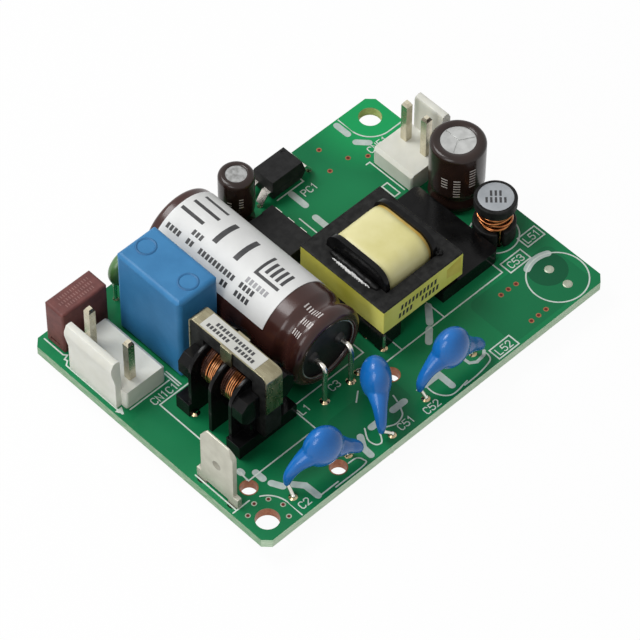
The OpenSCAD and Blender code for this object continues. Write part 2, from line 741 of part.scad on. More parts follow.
module inrush_thermistor() color("green") difference() {
  translate([thermistor_x, thermistor_y, thermistor_z]) lens(thermistor_d, thermistor_t, 0.3 * thermistor_t);
  thermistor_wires();
}

// Common-mode choke

module choke_core_profile(grow) {
  difference() {
    rounded_rect(choke_core_l + 2 * grow, choke_core_h + 2 * grow, 0.7);
    for (s = [-1, 1]) {
      low = choke_centre / 2 + grow;
      high = choke_win_z - grow;
      translate([0, s * (low + high) / 2]) square([2 * (choke_win_y - grow), high - low], center = true);
    }
  }
}

module choke_core_half(side) {
  intersection() {
    translate([choke_x, choke_y, choke_z]) along_x(choke_core_t) choke_core_profile(0);
    translate([choke_x, choke_y + side * 20, choke_z]) cube([20, 40, 40], center = true);
  }
}

module choke_core_near() color("dimgray") choke_core_half(-1);

module choke_core_far() color("dimgray") choke_core_half(1);

// Flange outline in X and Z, from the board to a rounded top
module choke_flange_profile(top) {
  half = choke_flange_w / 2;
  r = choke_flange_r;
  translate([-half, board_t]) square([2 * half, top - board_t - r]);
  translate([r - half, board_t]) square([2 * (half - r), top - board_t]);
  for (s = [-1, 1]) translate([s * (half - r), top - r]) circle(r, $fn = 48);
}

module choke_pin_wires() for (p = choke_at) lead_down(p, choke_pin_d, board_t + choke_rail_h - 1);

module choke_pins() color("silver") choke_pin_wires();

// Collar outline in X and Z round the core's centre limb, bevelled all round
module choke_collar_profile() {
  w = choke_collar_w / 2;
  h = choke_collar_h / 2;
  c = choke_collar_bevel;
  polygon([[-w, c - h], [c - w, -h], [w - c, -h], [w, c - h], [w, h - c], [w - c, h], [c - w, h], [-w, h - c]]);
}

// One end of the bobbin: flange, collar, neck and foot rail, drawn towards +Y
module choke_bobbin_end() {
  translate([0, choke_end_y + choke_flange_t / 2, 0])
    along_y(choke_flange_t) choke_flange_profile(choke_z + choke_win_z - choke_fit);
  translate([0, choke_end_y + choke_collar_t / 2, choke_z]) along_y(choke_collar_t) choke_collar_profile();
  translate([-choke_neck_w / 2, choke_end_y, board_t])
    cube([choke_neck_w, choke_collar_t - choke_neck_in, choke_z - board_t]);
  translate([-choke_rail_w / 2, choke_end_y, board_t]) cube([choke_rail_w, choke_collar_t, choke_rail_h]);
}

module choke_bobbin() color("black") difference() {
  translate([choke_x, choke_y, 0]) {
    along_y(choke_flange_t) choke_flange_profile(choke_hook_z - 0.1);
    choke_bobbin_end();
    mirror([0, 1, 0]) choke_bobbin_end();
    translate([0, 0, choke_z])
      cube([2 * choke_barrel_x, 2 * choke_end_y + 0.1, 2 * choke_barrel_z], center = true);
  }
  translate([choke_x, choke_y, choke_z]) along_x(choke_core_t + 2 * choke_fit) choke_core_profile(choke_fit);
  translate([choke_x, choke_y, choke_z + choke_win_z])
    cube([choke_core_t + 2 * choke_fit, 30, 2 * choke_fit], center = true);
  choke_pin_wires();
}

module choke_winding(side) {
  translate([choke_x, choke_y + side * (choke_flange_t + choke_section) / 2, choke_z]) difference() {
    along_y(choke_section) circle(choke_winding_ro, $fn = 64);
    cube([2 * choke_barrel_x, 20, 2 * choke_barrel_z], center = true);
  }
}

module choke_winding_near() color("orange") choke_winding(-1);

module choke_winding_far() color("orange") choke_winding(1);

module choke_clip() color("silver") translate([choke_x, choke_y, choke_z]) {
  t = choke_clip_t;
  top = choke_core_h / 2;
  hook_h = choke_z + top + t - choke_hook_z;
  along_x(choke_core_t) difference() {
    rounded_rect(choke_core_l + 2 * t, choke_core_h + 2 * t, 0.7 + t);
    rounded_rect(choke_core_l, choke_core_h, 0.7);
    translate([0, top + t - choke_clip_leg - 20]) square([40, 40], center = true);
  }
  for (s = [-1, 1]) {
    translate([s * (choke_core_t / 2 + t / 2), 0, top + t - hook_h / 2])
      cube([t, choke_hook_w, hook_h], center = true);
    translate([s * choke_core_t / 2, 0, top + t / 2]) cube([2 * t, choke_hook_w, t], center = true);
  }
}

// Capacitor cans, drawn from the closed end at z = 0 to the open end

module can_profile(r, l, grow) {
  difference() {
    intersection() {
      translate([0, l / 2]) rounded_rect(2 * (r + grow), l + 2 * grow, can_corner + grow);
      translate([0, -1]) square([r + 1, l + 2]);
    }
    translate([r + crimp_r - crimp_depth, l - 2.4]) circle(crimp_r - grow, $fn = 32);
  }
}

module can(r, l, vented) {
  difference() {
    rotate_extrude($fn = 64) can_profile(r, l, 0);
    translate([0, 0, l - bung_in]) cylinder(r = r - can_rim, h = bung_in + 1, $fn = 48);
    if (vented)
      for (a = [30, 150, 270]) rotate([0, 0, a])
        translate([0, -vent_w / 2, -1]) cube([0.62 * r, vent_w, 1.12]);
  }
}

module sleeve(r, l) {
  lap = can_rim - 0.15;
  rotate_extrude($fn = 64) difference() {
    can_profile(r, l, sleeve_t);
    can_profile(r, l, 0);
    translate([0, -1]) square([r - lap, l + 2]);
  }
}

module bung(r, l) {
  translate([0, 0, l - bung_in]) cylinder(r = r - can_rim, h = bung_in + bung_out, $fn = 48);
}

module upright(x, y, l) {
  translate([x, y, board_t + bung_out + l]) rotate([180, 0, 0]) children();
}

module lying() {
  translate([bulk_x, bulk_y0, bulk_z]) rotate([90, 0, 0]) children();
}

module bulk_lead_shape() {
  down = bulk_z - bulk_bend + lead_drop;
  for (p = bulk_at) translate([p[0], bulk_hole_y, -lead_drop]) {
    cylinder(d = bulk_lead_d, h = down, $fn = 24);
    translate([0, bulk_bend, down]) rotate([90, 0, -90]) rotate_extrude(angle = 90, $fn = 48)
      translate([bulk_bend, 0]) circle(d = bulk_lead_d, $fn = 24);
    translate([0, bulk_bend, down + bulk_bend]) rotate([-90, 0, 0])
      cylinder(d = bulk_lead_d, h = bulk_lead_out - bulk_bend + bung_out + bung_in, $fn = 24);
  }
}

module bulk_capacitor_can() color("silver") lying() can(bulk_r, bulk_l, true);

module bulk_capacitor_sleeve() color("saddlebrown") lying() sleeve(bulk_r, bulk_l);

module bulk_capacitor_bung() color("black") difference() {
  lying() bung(bulk_r, bulk_l);
  bulk_lead_shape();
}

module bulk_capacitor_leads() color("silver") bulk_lead_shape();

module bulk_capacitor_label() color("white") lying()
  rotate([0, 0, -12]) rotate_extrude(angle = 164, $fn = 64)
    translate([bulk_d / 2, 1.5]) square([bulk_label_t, bulk_label_w]);

module out_cap_wires() for (p = out_cap_at) lead_down(p, lead_d, board_t + bung_out + bung_in);

module output_capacitor_can() color("silver")
  upright(out_cap_x, out_cap_y, out_cap_l) can(out_cap_d / 2 - sleeve_t, out_cap_l, true);

module output_capacitor_sleeve() color("saddlebrown")
  upright(out_cap_x, out_cap_y, out_cap_l) sleeve(out_cap_d / 2 - sleeve_t, out_cap_l);

module output_capacitor_bung() color("black") difference() {
  upright(out_cap_x, out_cap_y, out_cap_l) bung(out_cap_d / 2 - sleeve_t, out_cap_l);
  out_cap_wires();
}

module output_capacitor_leads() color("silver") out_cap_wires();

module supply_cap_wires() for (p = supply_cap_at) lead_down(p, lead_d, board_t + bung_out + bung_in);

module supply_capacitor_can() color("silver")
  upright(supply_cap_x, supply_cap_y, supply_cap_l) can(supply_cap_d / 2 - sleeve_t, supply_cap_l, false);

module supply_capacitor_sleeve() color("saddlebrown")
  upright(supply_cap_x, supply_cap_y, supply_cap_l) sleeve(supply_cap_d / 2 - sleeve_t, supply_cap_l);

module supply_capacitor_bung() color("black") difference() {
  upright(supply_cap_x, supply_cap_y, supply_cap_l) bung(supply_cap_d / 2 - sleeve_t, supply_cap_l);
  supply_cap_wires();
}

module supply_capacitor_leads() color("silver") supply_cap_wires();

// Dipped capacitors: a lens with two coated legs that bow out and down to the wires

module rod(a, b, d) {
  v = b - a;
  translate(a) rotate([0, acos(v[2] / norm(v)), atan2(v[1], v[0])]) cylinder(d = d, h = norm(v), $fn = 24);
}

function dip_tip(cap, s) = [cap[0][0] + s * dip_reach * cos(cap[1]), cap[0][1] + s * dip_reach * sin(cap[1]),
                            board_t + dip_leg_h];

module dip_wires(cap) {
  for (i = [0, 1]) {
    hole = cap[2][i];
    tip = dip_tip(cap, 2 * i - 1);
    knee = [hole[0], hole[1], board_t + 0.25];
    rod(knee, tip + 0.35 * (tip - knee) / norm(tip - knee), lead_d);
    translate(knee) sphere(d = 1.2 * lead_d, $fn = 24);
    lead_down(hole, lead_d, board_t + 0.25);
  }
}

module dip_leg(bow) {
  translate([dip_reach - bow, 0, dip_leg_h + dip_leg_end_h]) rotate([90, 0, 0])
    rotate_extrude(angle = 90, $fn = 48) translate([bow, 0]) circle(d = dip_leg_d, $fn = 32);
  translate([1, 0, dip_leg_h + dip_leg_end_h + bow]) rotate([0, 90, 0])
    cylinder(d = dip_leg_d, h = dip_reach - bow - 1, $fn = 32);
  translate([dip_reach, 0, dip_leg_h])
    cylinder(d1 = dip_leg_end_d, d2 = dip_leg_d, h = dip_leg_end_h, $fn = 32);
}

module dip_body(cap) {
  difference() {
    translate([cap[0][0], cap[0][1], board_t]) rotate([0, 0, cap[1]]) {
      translate([0, 0, dip_h]) lens(dip_d, dip_t, dip_rim);
      mirror([1, 0, 0]) dip_leg(dip_bow_a);
      dip_leg(dip_bow_b);
    }
    dip_wires(cap);
  }
}

module y_capacitor_input() color("blue") dip_body(dip_input);

module y_capacitor_input_leads() color("silver") dip_wires(dip_input);

module y_capacitor_middle() color("blue") dip_body(dip_middle);

module y_capacitor_middle_leads() color("silver") dip_wires(dip_middle);

module y_capacitor_output() color("blue") dip_body(dip_output);

module y_capacitor_output_leads() color("silver") dip_wires(dip_output);

// Transformer

module trafo_place() {
  translate([trafo_x, trafo_y, trafo_z]) children();
}

module trafo_core_profile(grow) {
  difference() {
    square([trafo_core_l + 2 * grow, trafo_core_w + 2 * grow], center = true);
    for (s = [-1, 1]) {
      low = trafo_centre / 2 + grow;
      high = trafo_win_y - grow;
      translate([0, s * (low + high) / 2]) square([2 * (trafo_win_x - grow), high - low], center = true);
    }
  }
}

module trafo_core_half(side) {
  trafo_place() intersection() {
    linear_extrude(trafo_core_h, center = true) trafo_core_profile(0);
    translate([side * 20, 0, 0]) cube([40, 40, 20], center = true);
  }
}

module transformer_core_input() color("dimgray") trafo_core_half(-1);

module transformer_core_output() color("dimgray") trafo_core_half(1);

module trafo_flange() {
  w = 2 * (trafo_win_y - trafo_fit);
  h = trafo_winding_h + 2 * trafo_flange_reach;
  rounded_rect(w, h, trafo_winding_r - 1.2);
}

module transformer_pin_wires() {
  for (p = trafo_in_at) lead_down(p, trafo_pin_d, board_t + trafo_under - 0.6);
  for (p = trafo_out_at) lead_down(p, trafo_pin_d, board_t + trafo_block_h - 0.6);
}

module transformer_pins() color("silver") transformer_pin_wires();

module transformer_bobbin() color("black") difference() {
  union() {
    trafo_place() {
      for (s = [-1, 1])
        translate([s * (trafo_win_x - trafo_flange_t / 2), 0, 0]) along_x(trafo_flange_t) trafo_flange();
      cube([2 * trafo_win_x - trafo_flange_t, 2 * trafo_barrel_y, 2 * trafo_barrel_z], center = true);
    }
    translate([trafo_x, trafo_y, board_t]) {
      translate([-trafo_rail_x, -trafo_core_w / 2, 0.4])
        cube([trafo_rail_x - trafo_win_x + trafo_flange_t, trafo_core_w, trafo_under - 0.4]);
      for (s = [-1, 1])
        translate([-trafo_rail_x, s * (trafo_core_w / 2 - 0.6) - 0.6, 0]) cube([2.4, 1.2, 0.4 + trafo_fit]);
      intersection() {
        translate([trafo_win_x - trafo_flange_t, -trafo_core_w / 2, 0])
          cube([trafo_block_x - trafo_win_x + trafo_flange_t, trafo_core_w, trafo_block_h]);
        linear_extrude(trafo_block_h) rounded_rect(2 * trafo_block_x, trafo_core_w, 0.8);
      }
    }
  }
  trafo_place() linear_extrude(trafo_core_h + 2 * trafo_fit, center = true) trafo_core_profile(trafo_fit);
  transformer_pin_wires();
}

module transformer_winding() color("khaki") trafo_place() along_x(trafo_winding_l) difference() {
  rounded_rect(trafo_winding_w, trafo_winding_h, trafo_winding_r);
  square([2 * trafo_barrel_y, 2 * trafo_barrel_z], center = true);
}

module transformer_tape() color("khaki") trafo_place() linear_extrude(trafo_core_h - 0.1, center = true)
  difference() {
    rounded_rect(trafo_core_l + 2 * trafo_tape_t, trafo_core_w + 2 * trafo_tape_t, trafo_tape_t);
    square([trafo_core_l, trafo_core_w], center = true);
  }

// Output inductor

module output_inductor_core() color("gray") translate([drum_x, drum_y, board_t]) difference() {
  union() {
    cylinder(d = drum_d, h = drum_foot, $fn = 64);
    cylinder(d = drum_waist, h = drum_h, $fn = 48);
    translate([0, 0, drum_h - drum_top]) cylinder(d = drum_d, h = drum_top, $fn = 64);
  }
  for (s = [-1, 1]) rotate([0, 0, drum_turn]) translate([s * (drum_tail + 1), 0, drum_foot / 2])
    cube([2 + drum_wire + 0.3, drum_wire + 0.3, drum_foot + 1], center = true);
}

module output_inductor_winding() color("orange") {
  room = drum_h - drum_top - drum_foot;
  turns = floor(room / drum_wire);
  step = room / turns;
  translate([drum_x, drum_y, board_t + drum_foot]) rotate_extrude($fn = 64) {
    translate([drum_waist / 2, 0]) square([drum_turns_r - step / 2 - drum_waist / 2, room]);
    for (i = [0 : turns - 1])
      translate([drum_turns_r - step / 2, (i + 0.5) * step]) circle(step / 2, $fn = 24);
  }
  for (p = drum_at) lead_down(p, drum_wire, board_t + drum_foot + step / 2);
}

// Packages on the component side

module package_body(w, l, h, draft) {
  mid = 0.5 * h;
  intersection() {
    along_y(l + 1) polygon([[draft - w / 2, 0], [w / 2 - draft, 0], [w / 2, mid - 0.15], [w / 2, mid + 0.15],
      [w / 2 - draft, h], [draft - w / 2, h], [-w / 2, mid + 0.15], [-w / 2, mid - 0.15]]);
    along_x(w + 1) polygon([[draft - l / 2, 0], [l / 2 - draft, 0], [l / 2, mid - 0.15], [l / 2, mid + 0.15],
      [l / 2 - draft, h], [draft - l / 2, h], [-l / 2, mid + 0.15], [-l / 2, mid - 0.15]]);
  }
}

// One leg that leaves the body's side at x = 0 and splays down to the row at x = out, drawn towards +X
module package_leg(out, mid) {
  t = package_lead_t;
  k = min(0.55, out);
  along_y(1.3) polygon([[0, mid - t / 2], [k - 0.8 * t, mid - t / 2], [out - t / 2, 0.7], [out + t / 2, 0.7],
                        [k, mid + t / 2], [0, mid + t / 2]]);
  translate([out, 0, (0.7 - board_t - lead_drop) / 2])
    cube([t, package_lead_w, 0.7 + board_t + lead_drop], center = true);
}

module package_legs(x, y, w, h, rows, n) {
  for (s = [0, 1], i = [0 : n - 1])
    translate([x, y + (i - (n - 1) / 2) * package_pitch, board_t]) rotate([0, 0, 180 * s])
      translate([w / 2, 0, 0]) package_leg((rows - w) / 2, package_gap + h / 2);
}

module switching_ic() color("black") translate([ic_x, ic_y, board_t + package_gap]) difference() {
  package_body(ic_w, ic_l, ic_h, 0.4);
  translate([0, ic_l / 2, ic_h - 0.4]) cylinder(r = 0.9, h = 2, $fn = 32);
}

module switching_ic_leads() color("silver") package_legs(ic_x, ic_y, ic_w, ic_h, ic_rows, 4);

module optocoupler() color("black") translate([opto_x, opto_y, board_t + package_gap]) difference() {
  package_body(opto_w, opto_l, opto_h, 0.35);
  translate([opto_w / 2 - 1.1, opto_l / 2 - 1.1, opto_h - 0.15]) cylinder(r = 0.4, h = 1, $fn = 24);
}

module optocoupler_leads() color("silver") package_legs(opto_x, opto_y, opto_w, opto_h, opto_rows, 2);

// Parts on the underside, drawn with the board at z = 0 and turned over

module under(at) {
  translate([at[0], at[1], 0]) rotate([180, 0, 0]) children();
}

// Gull-wing leg from the body's side at x = 0 towards +X
module gull_leg(w, mid, reach) {
  t = 0.2;
  k = 0.35 * reach;
  along_y(w) polygon([[0, mid - t / 2], [k - t / 2, mid - t / 2], [k - t / 2, 0], [reach, 0], [reach, t],
                      [k + t / 2, t], [k + t / 2, mid + t / 2], [0, mid + t / 2]]);
}

module bridge_rectifier() color("black") under(bridge_at)
  translate([0, 0, 0.1]) package_body(bridge_w, bridge_l, bridge_h, 0.2);

module bridge_rectifier_leads() color("silver") under(bridge_at)
  for (s = [0, 1], y = [-0.5, 0.5]) rotate([0, 0, 180 * s]) translate([bridge_w / 2, y * bridge_pitch, 0])
    gull_leg(0.7, 0.1 + bridge_h / 2, 1.2);

module output_rectifier() color("black") under(rectifier_at)
  translate([0, 0, rectifier_tab_t]) package_body(rectifier_w, rectifier_l, rectifier_h - rectifier_tab_t, 0.2);

module output_rectifier_leads() color("silver") under(rectifier_at) {
  translate([-rectifier_tab_w / 2, -rectifier_l / 2 - rectifier_tab_out, 0])
    cube([rectifier_tab_w, rectifier_l + rectifier_tab_out, rectifier_tab_t]);
  for (x = [-0.5, 0.5]) translate([x * rectifier_pitch, rectifier_l / 2, 0]) rotate([0, 0, 90])
    gull_leg(0.8, (rectifier_h + rectifier_tab_t) / 2, rectifier_lead_out);
}

module shunt_regulator() color("black") under(shunt_at)
  translate([0, 0, 0.05]) package_body(shunt_w, shunt_l, shunt_h, 0.1);

module shunt_regulator_leads() color("silver") under(shunt_at) {
  for (y = [-1, 1]) translate([shunt_w / 2, y * shunt_l / 3, 0]) gull_leg(0.4, 0.05 + shunt_h / 2, 0.6);
  rotate([0, 0, 180]) translate([shunt_w / 2, 0, 0]) gull_leg(0.4, 0.05 + shunt_h / 2, 0.6);
}

module chip(h) {
  end = 0.4;
  translate([-chip_l / 2 + end, -chip_w / 2 + 0.03, 0.03]) cube([chip_l - 2 * end, chip_w - 0.06, h - 0.06]);
  for (s = [-1, 1]) translate([s * (chip_l - end) / 2, 0, h / 2]) cube([end, chip_w, h], center = true);
}

module chip_resistors() color("dimgray") for (p = chip_r_at) under(p) chip(chip_r_h);

module chip_capacitors() color("tan") for (p = chip_c_at) under(p) chip(chip_c_h);

pcb();
solder_joints();
input_header();
input_pins();
output_header();
output_pins();
earth_tab();
fuse();
fuse_leads();
film_capacitor();
film_capacitor_leads();
inrush_thermistor();
inrush_thermistor_leads();
choke_bobbin();
choke_core_near();
choke_core_far();
choke_winding_near();
choke_winding_far();
choke_clip();
choke_pins();
bulk_capacitor_can();
bulk_capacitor_sleeve();
bulk_capacitor_bung();
bulk_capacitor_leads();
bulk_capacitor_label();
y_capacitor_input();
y_capacitor_input_leads();
y_capacitor_middle();
y_capacitor_middle_leads();
y_capacitor_output();
y_capacitor_output_leads();
transformer_bobbin();
transformer_core_input();
transformer_core_output();
transformer_winding();
transformer_tape();
transformer_pins();
output_capacitor_can();
output_capacitor_sleeve();
output_capacitor_bung();
output_capacitor_leads();
supply_capacitor_can();
supply_capacitor_sleeve();
supply_capacitor_bung();
supply_capacitor_leads();
output_inductor_core();
output_inductor_winding();
optocoupler();
optocoupler_leads();
switching_ic();
switching_ic_leads();
bridge_rectifier();
bridge_rectifier_leads();
output_rectifier();
output_rectifier_leads();
shunt_regulator();
shunt_regulator_leads();
chip_resistors();
chip_capacitors();
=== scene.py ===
import bpy, bmesh, math, random
from mathutils import Matrix, Vector


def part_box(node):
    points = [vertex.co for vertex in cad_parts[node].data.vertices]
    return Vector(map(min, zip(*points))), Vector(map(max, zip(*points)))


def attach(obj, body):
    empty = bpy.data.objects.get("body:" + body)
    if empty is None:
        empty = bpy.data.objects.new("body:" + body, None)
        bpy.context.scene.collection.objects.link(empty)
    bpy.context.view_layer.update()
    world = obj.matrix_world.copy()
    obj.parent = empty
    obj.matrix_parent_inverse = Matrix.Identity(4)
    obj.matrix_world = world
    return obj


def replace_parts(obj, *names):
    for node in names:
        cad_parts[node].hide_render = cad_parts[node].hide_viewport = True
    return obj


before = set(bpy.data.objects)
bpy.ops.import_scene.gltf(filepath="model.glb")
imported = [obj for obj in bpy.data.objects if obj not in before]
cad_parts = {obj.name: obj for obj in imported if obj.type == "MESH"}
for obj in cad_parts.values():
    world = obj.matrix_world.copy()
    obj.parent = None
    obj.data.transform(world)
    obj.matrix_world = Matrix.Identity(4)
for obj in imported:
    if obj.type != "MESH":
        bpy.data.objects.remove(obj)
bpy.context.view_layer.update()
mm = 0.001  # lengths below are in millimetres
scene = bpy.context.scene
boardLow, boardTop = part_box("pcb")[0].z / mm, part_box("pcb")[1].z / mm


# Mesh helpers

def boxOf(node):
    low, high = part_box(node)
    return Vector(low) / mm, Vector(high) / mm


def gather(parts):  # several (verts, faces) pairs in one
    verts, faces = [], []
    for partVerts, partFaces in parts:
        shift = len(verts)
        verts += partVerts
        faces += [[i + shift for i in face] for face in partFaces]
    return verts, faces


def linked(name, data):
    item = bpy.data.objects.new(name, data)
    scene.collection.objects.link(item)
    return item


def solidMesh(node):  # welded copy of a CAD solid's mesh
    bm = bmesh.new()
    bm.from_mesh(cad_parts[node].data)
    bmesh.ops.remove_doubles(bm, verts=bm.verts, dist=1e-6)
    return bm


def dress(piece, materials, slot=None, smooth=True):
    piece.data.materials.clear()
    for material in materials if isinstance(materials, list) else [materials]:
        piece.data.materials.append(material)
    for face in piece.data.polygons:
        face.use_smooth = smooth
    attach(piece, "root")
    return piece


def fromBmesh(name, bm, materials, slot=None, smooth=True, sharp=None):
    mesh = bpy.data.meshes.new(name)
    bm.to_mesh(mesh)
    bm.free()
    piece = dress(linked(name, mesh), materials, slot, smooth)
    if sharp:
        mesh.set_sharp_from_angle(angle=math.radians(sharp))
    return piece


def newPiece(name, part, material, slot=None, smooth=True, sharp=None):
    verts, faces = part
    mesh = bpy.data.meshes.new(name)
    mesh.from_pydata([Vector(v) * mm for v in verts], [], faces)
    bm = bmesh.new()
    bm.from_mesh(mesh)
    bpy.data.meshes.remove(mesh)
    bmesh.ops.recalc_face_normals(bm, faces=bm.faces)
    return fromBmesh(name, bm, material, slot, smooth, sharp)


def flatPiece(name, parts, material, slot):  # ink, marks and copper that lie on a face
    return newPiece(name, gather(parts), material, slot, smooth=False)


def paint(node, material):  # a CAD solid keeps its mesh and takes a finish
    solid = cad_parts[node]
    solid.data.materials.clear()
    solid.data.materials.append(material)


def levelFaces(piece):  # large flat faces keep their own normal beside rounded edges
    level = piece.modifiers.new("levelFaces", "WEIGHTED_NORMAL")
    level.keep_sharp, level.weight = True, 80


def softEdges(node, width, material, slot, steps=2, sharp=40, split=50):  # copy of a CAD solid with broken edges
    bm = solidMesh(node)
    bmesh.ops.dissolve_limit(bm, angle_limit=math.radians(0.6), verts=bm.verts, edges=bm.edges)
    edges = [e for e in bm.edges if len(e.link_faces) == 2 and e.calc_face_angle(0) > math.radians(sharp)]
    bmesh.ops.bevel(bm, geom=edges, offset=width * mm, segments=steps, affect="EDGES", profile=0.5,
                    clamp_overlap=True)
    piece = fromBmesh(node + "_soft", bm, material, slot, sharp=split)
    levelFaces(piece)
    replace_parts(piece, node)
    return piece


def arc(centre, radius, start, end, steps=14):
    turns = [math.radians(start + (end - start) * i / steps) for i in range(steps + 1)]
    return [(centre[0] + radius * math.cos(t), centre[1] + radius * math.sin(t)) for t in turns]


def smoothPath(points, steps=6):  # round curve through every point
    pts = [Vector(p) for p in points]
    pts = [2 * pts[0] - pts[1]] + pts + [2 * pts[-1] - pts[-2]]
    path = []
    for a, b, c, d in zip(pts, pts[1:], pts[2:], pts[3:]):
        for i in range(steps):
            t = i / steps
            path.append(0.5 * (2 * b + (c - a) * t + (2 * a - 5 * b + 4 * c - d) * t ** 2
                               + (3 * b - a - 3 * c + d) * t ** 3))
    return path + [pts[-2]]


def ribbon(points, width, z, closed=False, cap=5):  # flat line of ink with round ends
    pts = [Vector(p) for p in points]
    count, half = len(pts), width / 2
    left, right = [], []
    for i, p in enumerate(pts):
        before = pts[i - 1] if i or closed else 2 * p - pts[1]
        after = pts[(i + 1) % count] if i + 1 < count or closed else 2 * p - pts[i - 1]
        a, b = (p - before).normalized(), (after - p).normalized()
        side = Vector((-a.y - b.y, a.x + b.x)).normalized()
        reach = half / max(0.45, side.dot(Vector((-a.y, a.x))))
        left.append(p + side * reach)
        right.append(p - side * reach)
    verts = [(*p, z) for p in left + right]
    faces = [[i, count + i, count + (i + 1) % count, (i + 1) % count] for i in range(count if closed else count - 1)]
    for end, edge in (() if closed else ((0, left[0]), (count - 1, right[-1]))):
        start = edge - pts[end]
        first = len(verts)
        for k in range(1, cap):
            turn = math.pi * k / cap
            verts.append((pts[end].x + start.x * math.cos(turn) - start.y * math.sin(turn),
                          pts[end].y + start.x * math.sin(turn) + start.y * math.cos(turn), z))
        ends = (0, count) if end == 0 else (2 * count - 1, count - 1)
        faces.append([ends[0], *range(first, first + cap - 1), ends[1]])
    return verts, faces


def disc(centre, radius, z, steps):
    return [(*p, z) for p in arc(centre, radius, 0, 360, steps)[:-1]], [list(range(steps))]


def ring(centre, inner, outer, z, steps):
    verts = [(*p, z) for r in (inner, outer) for p in arc(centre, r, 0, 360, steps)[:-1]]
    return verts, [[i, steps + i, steps + (i + 1) % steps, (i + 1) % steps] for i in range(steps)]


def quad(points):
    return [tuple(p) for p in points], [[0, 1, 2, 3]]


def plate(x, y, z):  # flat field between two x and two y
    return quad([(x[0], y[0], z), (x[1], y[0], z), (x[1], y[1], z), (x[0], y[1], z)])


def spaced(start, end, step):  # values from start towards end
    while (end - start) * step > 0:
        yield start
        start += step


def run(start, end, count):  # values from start to end in equal steps
    return [start + (end - start) * i / count for i in range(count + 1)]


def strips(n, rows, whole=True):  # faces between rows of n points
    return [[k * n + i, k * n + (i + 1) % n, (k + 1) * n + (i + 1) % n, (k + 1) * n + i]
            for k in range(rows - 1) for i in range(n if whole else n - 1)]


def lofted(loops):
    return [p for loop in loops for p in loop], strips(len(loops[0]), len(loops))


def tube(path, radius, sides):
    path = [Vector(p) for p in path]
    radii = radius if isinstance(radius, list) else [radius] * len(path)
    verts = []
    side = (path[1] - path[0]).orthogonal().normalized()
    for i, p in enumerate(path):
        ahead = (path[min(i + 1, len(path) - 1)] - path[max(i - 1, 0)]).normalized()
        side = (side - ahead * side.dot(ahead)).normalized()
        up = ahead.cross(side)
        for k in range(sides):
            turn = 2 * math.pi * k / sides
            verts.append(p + (side * math.cos(turn) + up * math.sin(turn)) * radii[i])
    ends = [list(range(sides)), list(range(len(verts) - sides, len(verts)))]
    return verts, strips(sides, len(path)) + ends


def turned(profile, place, steps, turn=(0, 360)):  # place(along, radius, angle) gives the point
    whole = turn[1] - turn[0] == 360
    angles = [math.radians(turn[0] + (turn[1] - turn[0]) * i / steps) for i in range(steps if whole else steps + 1)]
    verts = [place(s, r, a) for s, r in profile for a in angles]
    return verts, strips(len(angles), len(profile), whole)


def standing(x, y, z=0, way=1):  # turned about a line along z
    return lambda s, r, a: (x + r * math.cos(a), y + r * math.sin(a), z + way * s)


def lying(x, y, z, way=1):  # turned about a line along y
    return lambda s, r, a: (x + r * math.cos(a), y + way * s, z + r * math.sin(a))


def turnedAt(profile, places, steps):  # the same turned shape at several places
    return gather([turned(profile, standing(*place), steps) for place in places])


# Materials

def shader(name):
    material = bpy.data.materials.new(name)
    material.use_nodes = True
    tree = material.node_tree
    return material, tree, tree.nodes["Principled BSDF"]


def plug(socket, source):  # an output is linked, anything else is set as the value
    if isinstance(source, bpy.types.NodeSocket):
        socket.id_data.links.new(source, socket)
    else:
        socket.default_value = source


def add(tree, kind, sources=None, **values):
    node = tree.nodes.new("ShaderNode" + kind)
    for key, value in values.items():
        if hasattr(node, key):
            setattr(node, key, value)
        else:
            node.inputs[key.replace("_", " ")].default_value = value
    for socket, source in (sources or {}).items():
        plug(node.inputs[socket], source)
    return node


def feed(node, **sources):  # links and values into named inputs
    for name, source in sources.items():
        plug(node.inputs[name.replace("_", " ")], source)


def speckle(tree, scale, detail, stretch=(1, 1, 1)):  # noise in object space, scale per millimetre
    where = add(tree, "TexCoord").outputs["Object"]
    place = add(tree, "Mapping", {"Vector": where, "Scale": [s / mm for s in stretch]})
    return add(tree, "TexNoise", {"Vector": place.outputs["Vector"]}, Scale=scale, Detail=detail).outputs["Fac"]


def ramp(tree, source, low, high, start=0.35, end=0.65):
    node = add(tree, "ValToRGB", {"Fac": source})
    node.color_ramp.elements[0].position, node.color_ramp.elements[1].position = start, end
    node.color_ramp.elements[0].color, node.color_ramp.elements[1].color = (*low, 1), (*high, 1)
    return node.outputs["Color"]


def blend(tree, factor, low, high, kind="MIX"):
    return add(tree, "Mix", {0: factor, 6: low, 7: high}, data_type="RGBA", blend_type=kind).outputs[2]


def span(tree, source, low, high):
    return add(tree, "MapRange", {"Value": source}, To_Min=low, To_Max=high).outputs["Result"]


def bump(tree, source, height, strength=1.0):
    return add(tree, "Bump", {"Height": source}, Strength=strength, Distance=height * mm).outputs["Normal"]


def facing(tree, axis):  # how squarely a face looks along an axis, either way
    normal = add(tree, "SeparateXYZ", {"Vector": add(tree, "NewGeometry").outputs["Normal"]})
    return add(tree, "Math", {0: normal.outputs[axis]}, operation="ABSOLUTE").outputs[0]


